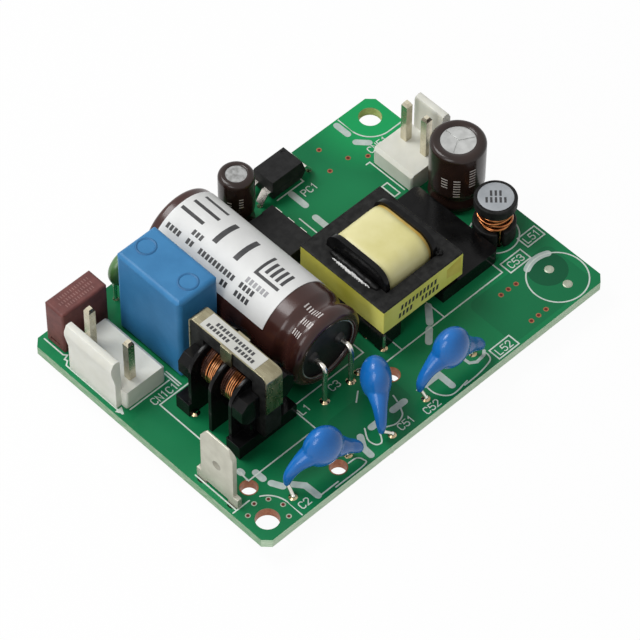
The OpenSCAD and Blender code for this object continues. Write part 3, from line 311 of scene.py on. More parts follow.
def finish(name, low, high, rough, grain, blotch, metal=0.0, coat=0.0, coatRough=0.1, sub=0.0,
           stretch=(1, 1, 1), shine=0.5):
    material, tree, bsdf = shader(name)
    feed(bsdf, Base_Color=ramp(tree, speckle(tree, blotch, 4.0, stretch), low, high),
         Roughness=span(tree, speckle(tree, grain[0], 2.0, stretch), *rough), Metallic=metal,
         Specular_IOR_Level=shine, Coat_Weight=coat, Coat_Roughness=coatRough)
    if grain[1]:
        feed(bsdf, Normal=bump(tree, speckle(tree, grain[0], 3.0, stretch), grain[1]))
    if sub:
        feed(bsdf, Subsurface_Weight=sub, Subsurface_Radius=(1.2 * mm, 1.1 * mm, 0.9 * mm), Subsurface_Scale=1.0)
    return material


# Round the far mounting hole there is no copper under the mask
clearMask = {"hole": (30, 20.75, 1.6), "from": 3.5, "to": 10.8, "tint": (0.009, 0.315, 0.095, 1)}


def boardFinish():  # green mask on the faces, cut laminate on the edges and in the holes
    material, tree, bsdf = shader("solderMask")
    face = add(tree, "Math", {0: facing(tree, "Z")}, operation="GREATER_THAN").outputs[0]
    mask = ramp(tree, speckle(tree, 0.06, 2.0), (0.004, 0.15, 0.053), (0.009, 0.2, 0.072))
    fibres = speckle(tree, 1.5, 5.0, (0.5, 0.5, 4.0))
    short = ramp(tree, fibres, (0.165, 0.335, 0.19), (0.35, 0.455, 0.32))
    long = ramp(tree, fibres, (0.5, 0.7, 0.48), (0.7, 0.84, 0.64))  # the long edges are cut paler
    cut = blend(tree, facing(tree, "Y"), short, long)
    where = add(tree, "TexCoord").outputs["Object"]
    reach = add(tree, "VectorMath", {0: where, 1: [v * mm for v in clearMask["hole"]]}, operation="DISTANCE")
    clear = add(tree, "MapRange", {"Value": reach.outputs["Value"]}, From_Min=clearMask["from"] * mm,
                From_Max=clearMask["to"] * mm, To_Min=1.0, To_Max=0.0).outputs["Result"]
    pale = blend(tree, clear, mask, clearMask["tint"])
    weave = speckle(tree, 1.6, 2.0, (1.0, 0.25, 1.0))
    feed(bsdf, Base_Color=blend(tree, face, cut, pale), Roughness=span(tree, face, 0.85, 0.34),
         Normal=bump(tree, weave, 0.006, 0.6), Specular_IOR_Level=0.16)
    return material


def woundCopper():
    material, tree, bsdf = shader("enamelledCopper")
    wire = ramp(tree, speckle(tree, 1.0, 4.0), (0.54, 0.18, 0.06), (0.95, 0.45, 0.2))
    # painted shade: the copper is darkened where its faces look up or down, standing in for the shadow the core casts
    # over the winding
    shade = ramp(tree, facing(tree, "X"), (0.07, 0.06, 0.055), (1, 1, 1), 0.55, 0.9)
    feed(bsdf, Base_Color=blend(tree, 1.0, wire, shade, "MULTIPLY"), Metallic=1.0,
         Roughness=span(tree, speckle(tree, 2.0, 2.0), 0.16, 0.28))
    return material


boardGreen = boardFinish()
pourGreen = finish("maskOverCopper", (0.0035, 0.132, 0.048), (0.006, 0.155, 0.057), (0.3, 0.38), (1.6, 0.004), 0.06,
    shine=0.16)
discGreen = finish("maskOverDisc", (0.002, 0.078, 0.03), (0.003, 0.09, 0.036), (0.3, 0.38), (1.6, 0.004), 0.06,
    shine=0.16)
trackGreen = finish("maskOverTrack", (0.01, 0.195, 0.074), (0.016, 0.225, 0.088), (0.3, 0.4), (1.6, 0.004), 0.06,
    shine=0.16)
silkWhite = finish("whiteInk", (0.5, 0.57, 0.52), (0.62, 0.68, 0.63), (0.55, 0.7), (6, 0.006), 1.5)
silkGrey = finish("greyInk", (0.38, 0.46, 0.43), (0.47, 0.54, 0.51), (0.5, 0.65), (5, 0.008), 1)
padTin = finish("dullPad", (0.3, 0.33, 0.25), (0.42, 0.45, 0.36), (0.35, 0.5), (4, 0.01), 1.5, metal=0.6)
copperBare = finish("barePlating", (0.25, 0.09, 0.046), (0.36, 0.145, 0.076), (0.35, 0.5), (4, 0.006), 2, metal=0.85)
# near black red-brown, painted shade inside the via holes
viaHoleShade = finish("viaThroat", (0.085, 0.012, 0.008), (0.14, 0.02, 0.012), (0.5, 0.6), (6, 0), 2, shine=0.2)
laminate = finish("cutLaminate", (0.38, 0.45, 0.14), (0.53, 0.6, 0.24), (0.7, 0.85), (3, 0.03), 1)
solder = finish("brightSolder", (0.6, 0.57, 0.51), (0.78, 0.75, 0.69), (0.14, 0.3), (3, 0.01), 1.2, metal=1)
fluxedSolder = finish("fluxedSolder", (0.3, 0.215, 0.115), (0.5, 0.4, 0.26), (0.12, 0.26), (3, 0.01), 1.6, metal=1)
leadWire = finish("tinnedWire", (0.62, 0.59, 0.53), (0.78, 0.75, 0.69), (0.16, 0.32), (4, 0.006), 1.5, metal=1)
pinMetal = finish("tinnedPin", (0.58, 0.53, 0.4), (0.74, 0.69, 0.56), (0.18, 0.32), (3, 0.004), 0.8, metal=1)
tabMetal = finish("tinnedTab", (0.475, 0.465, 0.385), (0.55, 0.54, 0.455), (0.38, 0.54), (5, 0.006), 0.5, metal=0.55)
# darker tab finish, painted shade inside the dent
tabShade = finish("tabDentShade", (0.27, 0.26, 0.21), (0.36, 0.35, 0.29), (0.4, 0.56), (5, 0.006), 0.5, metal=0.55)
clipMetal = finish("springSteel", (0.21, 0.185, 0.115), (0.34, 0.31, 0.21), (0.2, 0.36), (1.2, 0.006), 0.6, metal=1,
    stretch=(1, 0.2, 1))
nylon = finish("nylon", (0.62, 0.62, 0.555), (0.69, 0.69, 0.63), (0.42, 0.55), (2.5, 0.012), 0.25, sub=0.2, shine=0.4)
fuseBrown = finish("fuseMoulding", (0.1, 0.03, 0.027), (0.14, 0.044, 0.038), (0.5, 0.66), (5, 0.02), 0.8, shine=0.35)
fuseMark = finish("fuseMark", (0.2, 0.098, 0.088), (0.27, 0.14, 0.125), (0.5, 0.62), (5, 0.01), 0.8, shine=0.3)
filmBlue = finish("filmCase", (0.026, 0.16, 0.35), (0.036, 0.19, 0.4), (0.42, 0.54), (3, 0.012), 0.3, shine=0.35)
# darker blue, painted shade on the moulded rings
filmShade = finish("filmRingShade", (0.017, 0.11, 0.255), (0.024, 0.135, 0.3), (0.42, 0.54), (3, 0.012), 0.3, shine=0.35)
greenResin = finish("greenResin", (0.05, 0.14, 0.035), (0.09, 0.2, 0.06), (0.3, 0.45), (0.9, 0.06), 0.5, coat=0.3)
blackPlastic = finish("blackMoulding", (0.0032, 0.0032, 0.0034), (0.0075, 0.0075, 0.0078), (0.1, 0.22), (3, 0.008),
    0.5, shine=0.13)
ferrite = finish("ferrite", (0.0045, 0.0045, 0.0045), (0.017, 0.017, 0.0165), (0.4, 0.62), (3.5, 0.028), 1, shine=0.14)
varnish = finish("blackVarnish", (0.002, 0.002, 0.002), (0.005, 0.005, 0.005), (0.24, 0.5), (1.6, 0.12), 0.7,
    shine=0.14)
epoxy = finish("blackEpoxy", (0.0075, 0.0075, 0.0078), (0.016, 0.016, 0.0162), (0.45, 0.6), (6, 0.02), 1, shine=0.16)
chokeCopper = woundCopper()
copperWire = finish("looseCopper", (0.2, 0.062, 0.018), (0.44, 0.165, 0.055), (0.16, 0.28), (2, 0.004), 1,
    metal=1, coat=0.2)
# copper in painted shade for the choke's end turns, standing in for the shadow of the bobbin flanges
shadedEndCopper = finish("copperEndShade", (0.016, 0.006, 0.004), (0.05, 0.017, 0.009), (0.2, 0.32), (3, 0.01), 1.4,
    metal=0.4, shine=0.2)
copperDeep = finish("shadedCopper", (0.1, 0.025, 0.01), (0.17, 0.045, 0.018), (0.4, 0.5), (3, 0.01), 1, metal=0.5)
sleeveBrown = finish("shrinkSleeve", (0.039, 0.0135, 0.0105), (0.052, 0.019, 0.015), (0.18, 0.28), (0.7, 0.012), 0.3,
    coat=0.12, shine=0.3)
sleeveDark = finish("darkSleeve", (0.018, 0.0095, 0.0072), (0.027, 0.014, 0.011), (0.2, 0.3), (0.7, 0.012), 0.3,
    coat=0.1, shine=0.26)
canMetal = finish("drawnCan", (0.38, 0.385, 0.375), (0.47, 0.475, 0.465), (0.46, 0.6), (2, 0.006), 0.8, metal=1)
canDull = finish("markedCan", (0.2, 0.2, 0.195), (0.36, 0.365, 0.36), (0.4, 0.55), (2, 0.01), 1.6, metal=1)
rubber = finish("bungRubber", (0.006, 0.006, 0.006), (0.013, 0.013, 0.013), (0.4, 0.6), (3, 0.02), 0.8, shine=0.35)
labelWhite = finish("labelStock", (0.67, 0.675, 0.665), (0.72, 0.725, 0.715), (0.42, 0.54), (3, 0.004), 0.3, shine=0.35)
clipPaper = finish("clipLabelStock", (0.5, 0.5, 0.465), (0.57, 0.57, 0.53), (0.42, 0.54), (3, 0.004), 0.3, shine=0.3)
labelInk = finish("labelInk", (0.016, 0.016, 0.017), (0.034, 0.034, 0.036), (0.5, 0.65), (4, 0.003), 1)
greyInk = finish("paleLabelInk", (0.24, 0.24, 0.25), (0.32, 0.32, 0.33), (0.5, 0.65), (4, 0.003), 1)
sleeveInk = finish("sleeveInk", (0.52, 0.48, 0.46), (0.64, 0.6, 0.58), (0.4, 0.55), (4, 0.003), 1)
blueResin = finish("blueResin", (0.0065, 0.124, 0.425), (0.0105, 0.153, 0.49), (0.18, 0.28), (0.8, 0.02), 0.3,
    coat=0.2, shine=0.26)
tapeYellow = finish("polyesterTape", (0.66, 0.61, 0.26), (0.75, 0.7, 0.36), (0.3, 0.42), (0.5, 0.03), 0.2, shine=0.4)
tapeAmber = finish("amberTapeEdge", (0.58, 0.37, 0.075), (0.72, 0.52, 0.16), (0.3, 0.42), (0.8, 0.02), 0.4, shine=0.4)
bandStain = finish("bandStain", (0.7, 0.56, 0.085), (0.83, 0.7, 0.16), (0.28, 0.4), (0.5, 0.02), 0.3, shine=0.35)
tapeBand = finish("coreBandTape", (0.73, 0.67, 0.085), (0.92, 0.87, 0.22), (0.28, 0.4), (0.5, 0.02), 0.12, shine=0.35)
glueWhite = finish("driedGlue", (0.55, 0.55, 0.54), (0.74, 0.74, 0.73), (0.3, 0.5), (2.5, 0.05), 1.2)
discGrey = finish("paintedDisc", (0.3, 0.32, 0.34), (0.38, 0.4, 0.42), (0.35, 0.5), (4, 0.006), 0.5, metal=0.25)
chipCeramic = finish("chipCeramic", (0.3, 0.19, 0.11), (0.38, 0.25, 0.15), (0.45, 0.6), (6, 0.01), 1)
print("materials ready")

# Finishes on the CAD solids that keep their shape
def ending(*tails):
    return [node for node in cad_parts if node.endswith(tails)]


finishes = [
    (boardGreen, ["pcb"]), (solder, ["solder_joints"]), (pinMetal, ["input_pins", "output_pins"]),
    (leadWire, ending("_leads", "choke_pins", "transformer_pins")), (filmBlue, ["film_capacitor"]),
    (fuseBrown, ["fuse"]), (greenResin, ["inrush_thermistor"]), (canMetal, ending("_can")),
    (rubber, ending("_bung")), (labelWhite, ["bulk_capacitor_label"]), (tapeBand, ["transformer_tape"]),
]
for material, nodes in finishes:
    for node in nodes:
        paint(node, material)

# Mouldings, cores and sheet pieces with broken edges
brokenEdges = [  # width, finish, slot, nodes
    (0.12, nylon, "nylon", ["input_header", "output_header"]),
    (0.05, clipMetal, "tinned_sheet", ["choke_clip"]),
    (0.1, blackPlastic, "black_moulding", ["choke_bobbin"]),
    (0.1, ferrite, "ferrite", ["choke_core_near", "choke_core_far"]),
    (0.12, blackPlastic, "black_moulding", ["transformer_bobbin"]),
    (0.1, ferrite, "ferrite", ["transformer_core_input", "transformer_core_output"]),
    (0.22, ferrite, "ferrite", ["output_inductor_core"]),
    (0.05, epoxy, "package", ["switching_ic", "optocoupler", "bridge_rectifier", "output_rectifier"]),
    (0.03, epoxy, "package", ["shunt_regulator"]),
]
for width, material, slot, nodes in brokenEdges:
    for node in nodes:
        softEdges(node, width, material, slot, steps=3 if width > 0.2 else 2)
tab = softEdges("earth_tab", 0.06, tabMetal, "tinned_sheet", sharp=50, split=30)  # the dent keeps a crisp rim
dent = {"y": -12.75, "z": 7.6, "radius": 0.84, "square": 0.995}
# painted shade: faces inside the dent take the darker finish for the shade in the hollow
tab.data.materials.append(tabShade)
for face in tab.data.polygons:
    fromDent = math.hypot(face.center.y / mm - dent["y"], face.center.z / mm - dent["z"])
    face.material_index = int(fromDent < dent["radius"] and abs(face.normal.x) < dent["square"])
print("solids dressed")

# Ink on the board: outlines, current paths drawn by hand, position marks
inkLevel = {"lift": 0.014, "step": 0.0003, "arrow": 0.03, "thin": 0.22, "bar": 1.05, "hook": 0.5,
            "letter": 1.12, "stroke": 0.165}
strokes = {  # letters as lines in a cell 0.6 wide and 1 high
    "C": [[(0.6, 0.82), (0.45, 1), (0.15, 1), (0, 0.82), (0, 0.18), (0.15, 0), (0.45, 0), (0.6, 0.18)]],
    "L": [[(0, 1), (0, 0), (0.55, 0)]],
    "N": [[(0, 0), (0, 1), (0.6, 0), (0.6, 1)]],
    "P": [[(0, 0), (0, 1), (0.42, 1), (0.6, 0.86), (0.6, 0.62), (0.42, 0.48), (0, 0.48)]],
    "1": [[(0.1, 0.8), (0.3, 1), (0.3, 0)]],
    "2": [[(0, 0.8), (0.15, 1), (0.45, 1), (0.6, 0.84), (0.6, 0.64), (0, 0), (0.6, 0)]],
    "3": [[(0, 0.85), (0.15, 1), (0.45, 1), (0.6, 0.85), (0.6, 0.66), (0.45, 0.53), (0.25, 0.53)],
          [(0.45, 0.53), (0.6, 0.38), (0.6, 0.15), (0.45, 0), (0.15, 0), (0, 0.15)]],
    "5": [[(0.58, 1), (0.06, 1), (0, 0.56), (0.4, 0.6), (0.6, 0.42), (0.6, 0.17), (0.42, 0), (0.15, 0), (0, 0.14)]],
}
positionMarks = [("C2", (-25.4, -22.9)), ("L1", (-14.5, -11.5)), ("C3", (-8.7, -11.4)), ("C51", (-6.5, -22.8)),
                 ("C52", (-2, -23.3)), ("PC1", (12.8, 16.4)), ("CN1", (-28, 3.8)), ("C1", (-25.2, 3.8)),
                 ("CN51", (25.3, 15.6)), ("C53", (24.7, -13.35)), ("L51", (29.6, -11.75)), ("L52", (12.5, -23))]
outlines = [  # straight and round lines
    arc((-30, -20.75), 3.87, 62, 0) + [(-26.17, -20.6), (-26.17, -23.5)],
    [(26.17, 23.5), (26.17, 20.6)] + arc((30, 20.75), 3.85, 180, 270), [(30, 16.9), (32.8, 16.9)],
    [(-32.7, -16.85), (-29.7, -16.85)],
    [(0.17, -12.9), (23.17, -12.9), (23.17, -10.83)], [(3.27, -10.83), (3.27, -12.9)], [(11.6, -9.33), (11.6, -12.9)],
    [(9.27, 14), (9.27, 10.5)], [(9.33, 18.63), (14.5, 18.63), (14.5, 19.4)],
    [(23.2, 14.6), (23.9, 14.6), (23.9, 7.5)], [(-31, 5.63), (-23.7, 5.63)],
    [(-23.4, 7), (-23.4, 4)], [(-23, 7), (-23, 4)],
    [(-31.35, 23), (-31.35, 19.1), (-30.95, 18.6), (-31.75, 18.35), (-31.6, 17.9), (-32.27, 17.4), (-32.27, 5.8)],
    [(-32.07, -8.7), (-32.07, -16.7)],
    [(-27.3, -12.6), (-27.6, -14.2)], [(-3.2, -17.7), (-3.5, -18.8)], [(-7.7, -15), (-6.2, -13.8)],
    [(-0.2, -19.3), (1.2, -19.4)], [(0, -19.3), (0.05, -20.5)], [(-22, -22.9), (-18.83, -22.9)],
]
frames = [((-27.5, -14.83), (-14.4, 3.4)), ((-15.3, -0.97), (-9.5, 21.5)), ((24, 28), (-13.8, -11.7)),
          ((29.1, 32.5), (-12.2, -10.1)), ((11.9, 15.8), (-23.4, -21.4)), ((21.93, 23), (7.5, 10.1))]
circles = [((27.38, -7.13), 3.63), ((28.2, -18.92), 4.5)]
handCurves = [
    [(-19.7, -23.35), (-14.3, -23.35), (-13.8, -22.6), (-14.3, -21.8), (-15.67, -21.67)],
    [(-10, -19), (-11, -20.7), (-10.8, -22), (-10, -22.3), (-9.3, -21.5), (-9, -20.8)],
    [(-4, -20), (-4.7, -21), (-6.3, -21.4), (-8, -20.7)],
    [(1.17, -19.7), (1.2, -21.3), (2, -22.7), (3.3, -23.27), (6, -22.95)],
    [(5.2, -23.27), (8, -23.2), (10.7, -22.7), (11.3, -21.8), (11.2, -21.1)],
]
thickBars = [
    [(-25.87, -14.05), (-25.87, -15.5)], [(-27.3, -12.4), (-27.3, -12.8)], [(-25.55, -16.8), (-24.8, -18.3)],
    [(-23.6, -18.95), (-22.5, -20.3), (-22.4, -22.7)], [(-12.5, -22.8), (-12.4, -21.2), (-11.4, -19.6)],
    [(-9.2, -19.5), (-7, -19.5)], [(-5, -19.45), (-2.8, -19.45)], [(1.2, -19.4), (3.9, -19.4), (3.9, -22.1)],
    [(9.4, -12.2), (11.4, -9.9)], [(6.9, -14.5), (8.6, -12.9)], [(25.3, 22.9), (25.3, 20.6)],
    [(25.1, 18.7), (26.4, 17.3)], [(11.6, 18.1), (11.6, 15.2)], [(11.1, 12.6), (11.1, 10.4)],
    arc((28.2, -18.92), 4.5, 62, 118),
]
whiteParts, greyParts = [], []


def ink(parts, points, width, closed=False):
    level = boardTop + inkLevel["lift"] + inkLevel["step"] * (len(whiteParts) + len(greyParts))
    parts.append(ribbon(points, width, level, closed))


def letterLines(word, corner, height):
    for k, letter in enumerate(word):
        for line in strokes[letter]:
            yield [(corner[0] + height * (0.85 * k + x), corner[1] + height * y) for x, y in line]


for points in thickBars:
    ink(greyParts, points, inkLevel["bar"])
ink(greyParts, [(8.3, -19.9), (8.4, -21), (9.3, -21.6), (10.8, -21.4), (11.4, -20.9)], inkLevel["hook"])
for points in outlines:
    ink(whiteParts, points, inkLevel["thin"])
for points in handCurves:
    ink(whiteParts, smoothPath(points), inkLevel["thin"])
for x, y in frames:
    ink(whiteParts, [(x[0], y[0]), (x[1], y[0]), (x[1], y[1]), (x[0], y[1])], inkLevel["thin"], closed=True)
for centre, radius in circles:
    ink(whiteParts, arc(centre, radius, 0, 360, 48)[:-1], inkLevel["thin"], closed=True)
for word, corner in positionMarks:
    for line in letterLines(word, corner, inkLevel["letter"]):
        ink(whiteParts, line, inkLevel["stroke"])
arrow = [(-32.8, 6.8), (-31.5, 6.8), (-32.15, 5.6)]
whiteParts.append(([(*p, boardTop + inkLevel["arrow"]) for p in arrow], [[0, 1, 2]]))
flatPiece("board_ink_white", whiteParts, silkWhite, "board")
flatPiece("board_ink_grey", greyParts, silkGrey, "board")
print("ink printed:", len(whiteParts), "thin and", len(greyParts), "thick lines")


# Copper in the board: areas under the mask, vias, plated holes, solder on the component side
def roundedField(x, y, radius, z):
    corners = ((x[1], y[1], 0), (x[0], y[1], 90), (x[0], y[0], 180), (x[1], y[0], 270))
    points = []
    for cx, cy, start in corners:
        inX, inY = cx - math.copysign(radius, cx - sum(x) / 2), cy - math.copysign(radius, cy - sum(y) / 2)
        points += arc((inX, inY), radius, start, start + 90, 6)
    return [(*p, z) for p in points], [list(range(len(points)))]


tip = 0.001  # radius left at the middle of a closed turned end
copper = {
    "areas": [((15.3, 31.6), (-23, -13.6), 1.4), ((-13.4, -1.4), (-20, -14.6), 1.2)], "areaLift": 0.005,
    "disc": (28.2, -16.9), "discRadius": 3.0, "discLift": 0.009,
    "vias": [(23.1, -15.68), (21.62, -15.61), (20.15, -15.61), (22.89, -21.76), (21.36, -21.79), (19.94, -21.78),
             (20.21, 21.33), (22.19, 17.34), (18.6, 17.38), (24.54, 15.62)],
    "tinnedVias": [(-29.58, -17.67), (-27.67, -18.47), (-26.85, -20.49), (-27.61, -22.42), (-31.54, -18.53)],
    "viaOuter": 0.4, "viaThroat": 0.24, "viaLift": 0.012, "throatLift": 0.008,
    "pads": [(28.37, -17.08), (28.37, -20.71)], "padRadius": 0.72,
    "padRise": [(0.004, 1), (0.05, 0.9), (0.09, 0.6), (0.06, 0)],
    "spareHoles": [(-28.26, -15.24), (-17.14, -21.21), (-0.86, -14.94)], "spareRadius": 1.2, "plating": 0.03,
    "landUnder": 0.3, "landTop": 0.12,
    "mountHoles": [((-30, -20.75), copperBare), ((30, 20.75), laminate)], "mountRadius": 1.75, "wall": 0.02,
    "wets": [(-10.63, -11.8, 0.4), (-5.63, -11.8, 0.4), (-25, -20.5, 0.3), (-14.7, -20.6, 0.3), (-8, -22.35, 0.3),
             (-3.8, -11.45, 0.3), (-0.3, -21.15, 0.3), (9.9, -20.1, 0.3), (1.6, -10.8, 0.35), (1.6, -7.6, 0.35),
             (-24.88, -0.9, 0.4), (-24.88, -9.6, 0.4)],
    "wetReach": 0.34, "wetRise": 0.3,
}
flatPiece("copper_areas_top", [roundedField(*area, boardTop + copper["areaLift"]) for area in copper["areas"]],
          pourGreen, "board")
flatPiece("copper_disc_top", [disc(copper["disc"], copper["discRadius"], boardTop + copper["discLift"], 40)],
          discGreen, "board")
viaTop = boardTop + copper["viaLift"]
for group, material in (("vias", copperBare), ("tinnedVias", padTin)):
    rings = [ring(p, copper["viaThroat"], copper["viaOuter"], viaTop, 20) for p in copper[group]]
    newPiece(group + "_rings", gather(rings), material, "board")
# each via hole is a shallow dark cone, painted shade for the open hole
throat = [(viaTop, copper["viaThroat"]), (boardTop + copper["throatLift"], tip)]
newPiece("via_throats", turnedAt(throat, copper["vias"] + copper["tinnedVias"], 20), viaHoleShade, "board")
padProfile = [(boardTop + up, max(tip, copper["padRadius"] * share)) for up, share in copper["padRise"]]
newPiece("filled_pads", turnedAt(padProfile, copper["pads"], 28), padTin, "solder")
barrel, wall = copper["spareRadius"], copper["wall"]
plated = [(boardLow - wall, barrel + copper["landUnder"]), (boardLow - wall, barrel - copper["plating"]),
          (boardTop + wall, barrel - copper["plating"]), (boardTop + wall, barrel + copper["landTop"])]
newPiece("spare_hole_plating", turnedAt(plated, copper["spareHoles"], 40), copperBare, "board", sharp=40)
mountWall = [(z, copper["mountRadius"] - wall) for z in (boardLow + wall, boardTop - wall)]
for number, (centre, material) in enumerate(copper["mountHoles"]):
    newPiece("mount_hole_wall_%d" % number, turnedAt(mountWall, [centre], 48), material, "board")
reach, rise = copper["wetReach"], copper["wetRise"]
wetShapes = []
for x, y, radius in copper["wets"]:
    profile = [(0.004, radius + reach), (0.1, radius + 0.72 * reach), (0.55 * rise, radius + 0.3 * reach),
               (rise, 0.98 * radius)]
    wetShapes.append(turned([(boardTop + up, out) for up, out in profile], standing(x, y), 24))
newPiece("solder_wetting_top", gather(wetShapes), fluxedSolder, "solder")
print("copper and solder made")

# Fuse and film capacitor marks
fuseLow, fuseHigh = boxOf("fuse")
fuseSize = fuseHigh - fuseLow
fuseMarks = {"rows": [(0.72, 0.2, 0.86), (0.5, 0.14, 0.88), (0.28, 0.2, 0.8)],  # shares of the fuse's sides
             "tall": 0.5, "wide": 0.14, "gap": 0.3, "lift": 0.012}
bars, half = [], fuseMarks["tall"] / 2
for row, start, end in fuseMarks["rows"]:
    y, first, last = fuseLow.y + row * fuseSize.y, fuseLow.x + start * fuseSize.x, fuseLow.x + end * fuseSize.x
    bars += [plate((x, x + fuseMarks["wide"]), (y - half, y + half), fuseHigh.z + fuseMarks["lift"])
             for x in spaced(first, last, fuseMarks["wide"] + fuseMarks["gap"])]
flatPiece("fuse_marks", bars, fuseMark, "fuse_case")

filmTop = boxOf("film_capacitor")[1].z
mouldRings = {"at": [(-18.45, 15.4), (-18.5, 6.9)], "radius": 1.6, "width": 0.42, "foot": -0.01, "rise": 0.13}
outer, wide = mouldRings["radius"], mouldRings["width"]
foot, crest = filmTop + mouldRings["foot"], filmTop + mouldRings["rise"]
ringProfile = [(foot, outer - wide), (crest, outer - 0.6 * wide), (crest, outer - 0.3 * wide), (foot, outer)]
# the rings are drawn in the darker blue, painted shade along their edges
newPiece("film_capacitor_rings", turnedAt(ringProfile, mouldRings["at"], 40), filmShade, "film_case")
print("fuse and film capacitor marked")


# Choke: two wound sections, a label on the clip
chokeWire = {"turns": 9, "steps": 44, "sides": 8, "under": 0.22, "bore": 2.6, "stray": 0.55, "lift": 0.5,
             "dark": (0.1, 0.66), "seed": 6}
random.seed(chokeWire["seed"])
for node in ("choke_winding_near", "choke_winding_far"):
    low, high = boxOf(node)
    middle = (low + high) / 2
    wire = (high.y - low.y) / chokeWire["turns"] / 2
    radius = (high.x - low.x) / 2 - wire
    count = chokeWire["turns"] * chokeWire["steps"]
    halves = range(2 * chokeWire["turns"] + 2)
    stray = [chokeWire["stray"] * wire * random.uniform(-1, 1) for k in halves]
    lift = [chokeWire["lift"] * wire * random.random() for k in halves]
    path = []
    for i in range(count + 1):
        turn = 2 * math.pi * i / chokeWire["steps"]
        half, part = divmod(2 * i / chokeWire["steps"], 1)
        half, part = int(half), 0.5 - 0.5 * math.cos(math.pi * part)
        shift = stray[half] * (1 - part) + stray[half + 1] * part
        out = radius + lift[half] * (1 - part) + lift[half + 1] * part
        along = low.y + wire + (high.y - low.y - 2 * wire) * i / count + shift
        along = min(max(along, low.y + wire), high.y - wire)
        path.append((middle.x + out * math.cos(turn), along, middle.z + out * math.sin(turn)))
    coil = newPiece(node + "_wire", tube(path, wire, chokeWire["sides"]), [chokeCopper, shadedEndCopper], "enamelled_wire")
    # outside the lit middle span the turns take the darker copper: painted shade from the flanges
    for face in coil.data.polygons:
        place = (face.center.y / mm - low.y) / (high.y - low.y)
        face.material_index = 0 if chokeWire["dark"][0] < place < chokeWire["dark"][1] else 1
    body, bore = radius - chokeWire["under"], chokeWire["bore"]
    layer = [(low.y, bore), (low.y, body), (high.y, body), (high.y, bore)]
    newPiece(node + "_core_layer", turned(layer, lying(middle.x, 0, middle.z), 48), copperDeep, "enamelled_wire")
    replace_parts(coil, node)

clipTop = boxOf("choke_clip")[1].z
clipLabel = {"x": (-21.95, -19.25), "y": (-9.8, 0.95), "lift": 0.03, "inkLift": 0.042, "bar": 0.62, "wide": 0.42,
             "step": 0.62, "rows": [(-20.2, -0.7, -7.8), (-21.15, 0.2, -3.6), (-21.15, -5.3, -8.7)]}
flatPiece("clip_label", [plate(clipLabel["x"], clipLabel["y"], clipTop + clipLabel["lift"])], clipPaper, "label")
half = clipLabel["bar"] / 2
bars = [plate((x - half, x + half), (y - clipLabel["wide"], y), clipTop + clipLabel["inkLift"])
        for x, start, end in clipLabel["rows"] for y in spaced(start, end, -clipLabel["step"])]
flatPiece("clip_label_bars", bars, labelInk, "label")
print("choke wound")


# Electrolytic capacitors: shrunk sleeves with a soft neck, label and plain bars
sleeveOver = 0.15  # reach of a shrunk sleeve beyond each end of its can
sleeveLip = {"back": 0.12, "tuck": 0.5, "under": 0.1}  # how a sleeve's cut edges turn in


def neckIn(neck, s):  # how far the roll groove pulls the wall in
    x = (s - neck["at"]) / neck["half"]
    return neck["depth"] * 0.5 * (1 + math.cos(math.pi * x)) if abs(x) < 1 else 0.0


def sleeveProfile(radius, length, neck, lap, corner, over=sleeveOver):
    quarter = [math.pi / 2 * i / 8 for i in range(9)]
    profile = [(sleeveLip["back"] - over, radius - lap[0] - sleeveLip["under"]), (-over, radius - lap[0])]
    profile += [(corner[0] * (1 - math.cos(t)) - over, radius - corner[0] * (1 - math.sin(t))) for t in quarter]
    for i in range(25):
        s = neck["at"] - neck["half"] + 2 * neck["half"] * i / 24
        profile.append((s, radius - neckIn(neck, s)))
    end = length + over
    profile += [(end - corner[1] * (1 - math.sin(t)), radius - corner[1] * (1 - math.cos(t))) for t in quarter]
    return profile + [(end, radius - lap[1]), (end - sleeveLip["tuck"], radius - lap[1] - sleeveLip["under"])]


def neckedCan(node, base, axis, neck, metal):  # copy of a CAD can with the roll groove; s runs along axis from base
    bm = solidMesh(node)
    base, axis = Vector(base) * mm, Vector(axis)
    rim = neck["end"] - neck["corner"]
    cuts = [neck["at"] + neck["half"] * (i - 6) / 6 for i in range(13)]
    for s in cuts + [rim + neck["corner"] * i / 6 for i in range(6)]:
        bmesh.ops.bisect_plane(bm, geom=bm.verts[:] + bm.edges[:] + bm.faces[:], plane_co=base + axis * s * mm,
                               plane_no=axis)
    for vert in bm.verts:
        along = (vert.co - base).dot(axis)
        out = vert.co - base - axis * along
        if out.length > 1.5 * mm:
            past = min(max(along / mm - rim, 0), neck["corner"])
            pull = neckIn(neck, along / mm) + neck["corner"] - math.sqrt(neck["corner"] ** 2 - past ** 2)
            vert.co -= out.normalized() * pull * mm
    piece = fromBmesh(node + "_necked", bm, metal, "can", sharp=12)
    levelFaces(piece)
    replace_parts(piece, node)


bulkLow, bulkHigh = boxOf("bulk_capacitor_sleeve")
bulk = {"x": (bulkLow.x + bulkHigh.x) / 2, "z": (bulkLow.z + bulkHigh.z) / 2, "far": bulkHigh.y - sleeveOver,
        "radius": (bulkHigh.x - bulkLow.x) / 2, "lap": (1.0, 1.55), "corner": (0.85, 1.2), "labelOver": 0.112,
        "bungRadius": 5.2, "dish": 0.55, "leads": 2.5, "boss": 0.8}
bulkLength = bulk["far"] - bulkLow.y - sleeveOver
bulkNeck = {"at": bulkLength - 3.0, "half": 1.75, "depth": 0.62, "end": bulkLength + sleeveOver, "corner": 1.2}
onBulk = lying(bulk["x"], bulk["far"], bulk["z"], -1)  # s runs from the closed end towards the leads
bulkShape = sleeveProfile(bulk["radius"], bulkLength, bulkNeck, bulk["lap"], bulk["corner"])
sleeve = newPiece("bulk_sleeve_shrunk", turned(bulkShape, onBulk, 96), sleeveBrown, "sleeve")
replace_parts(sleeve, "bulk_capacitor_sleeve")
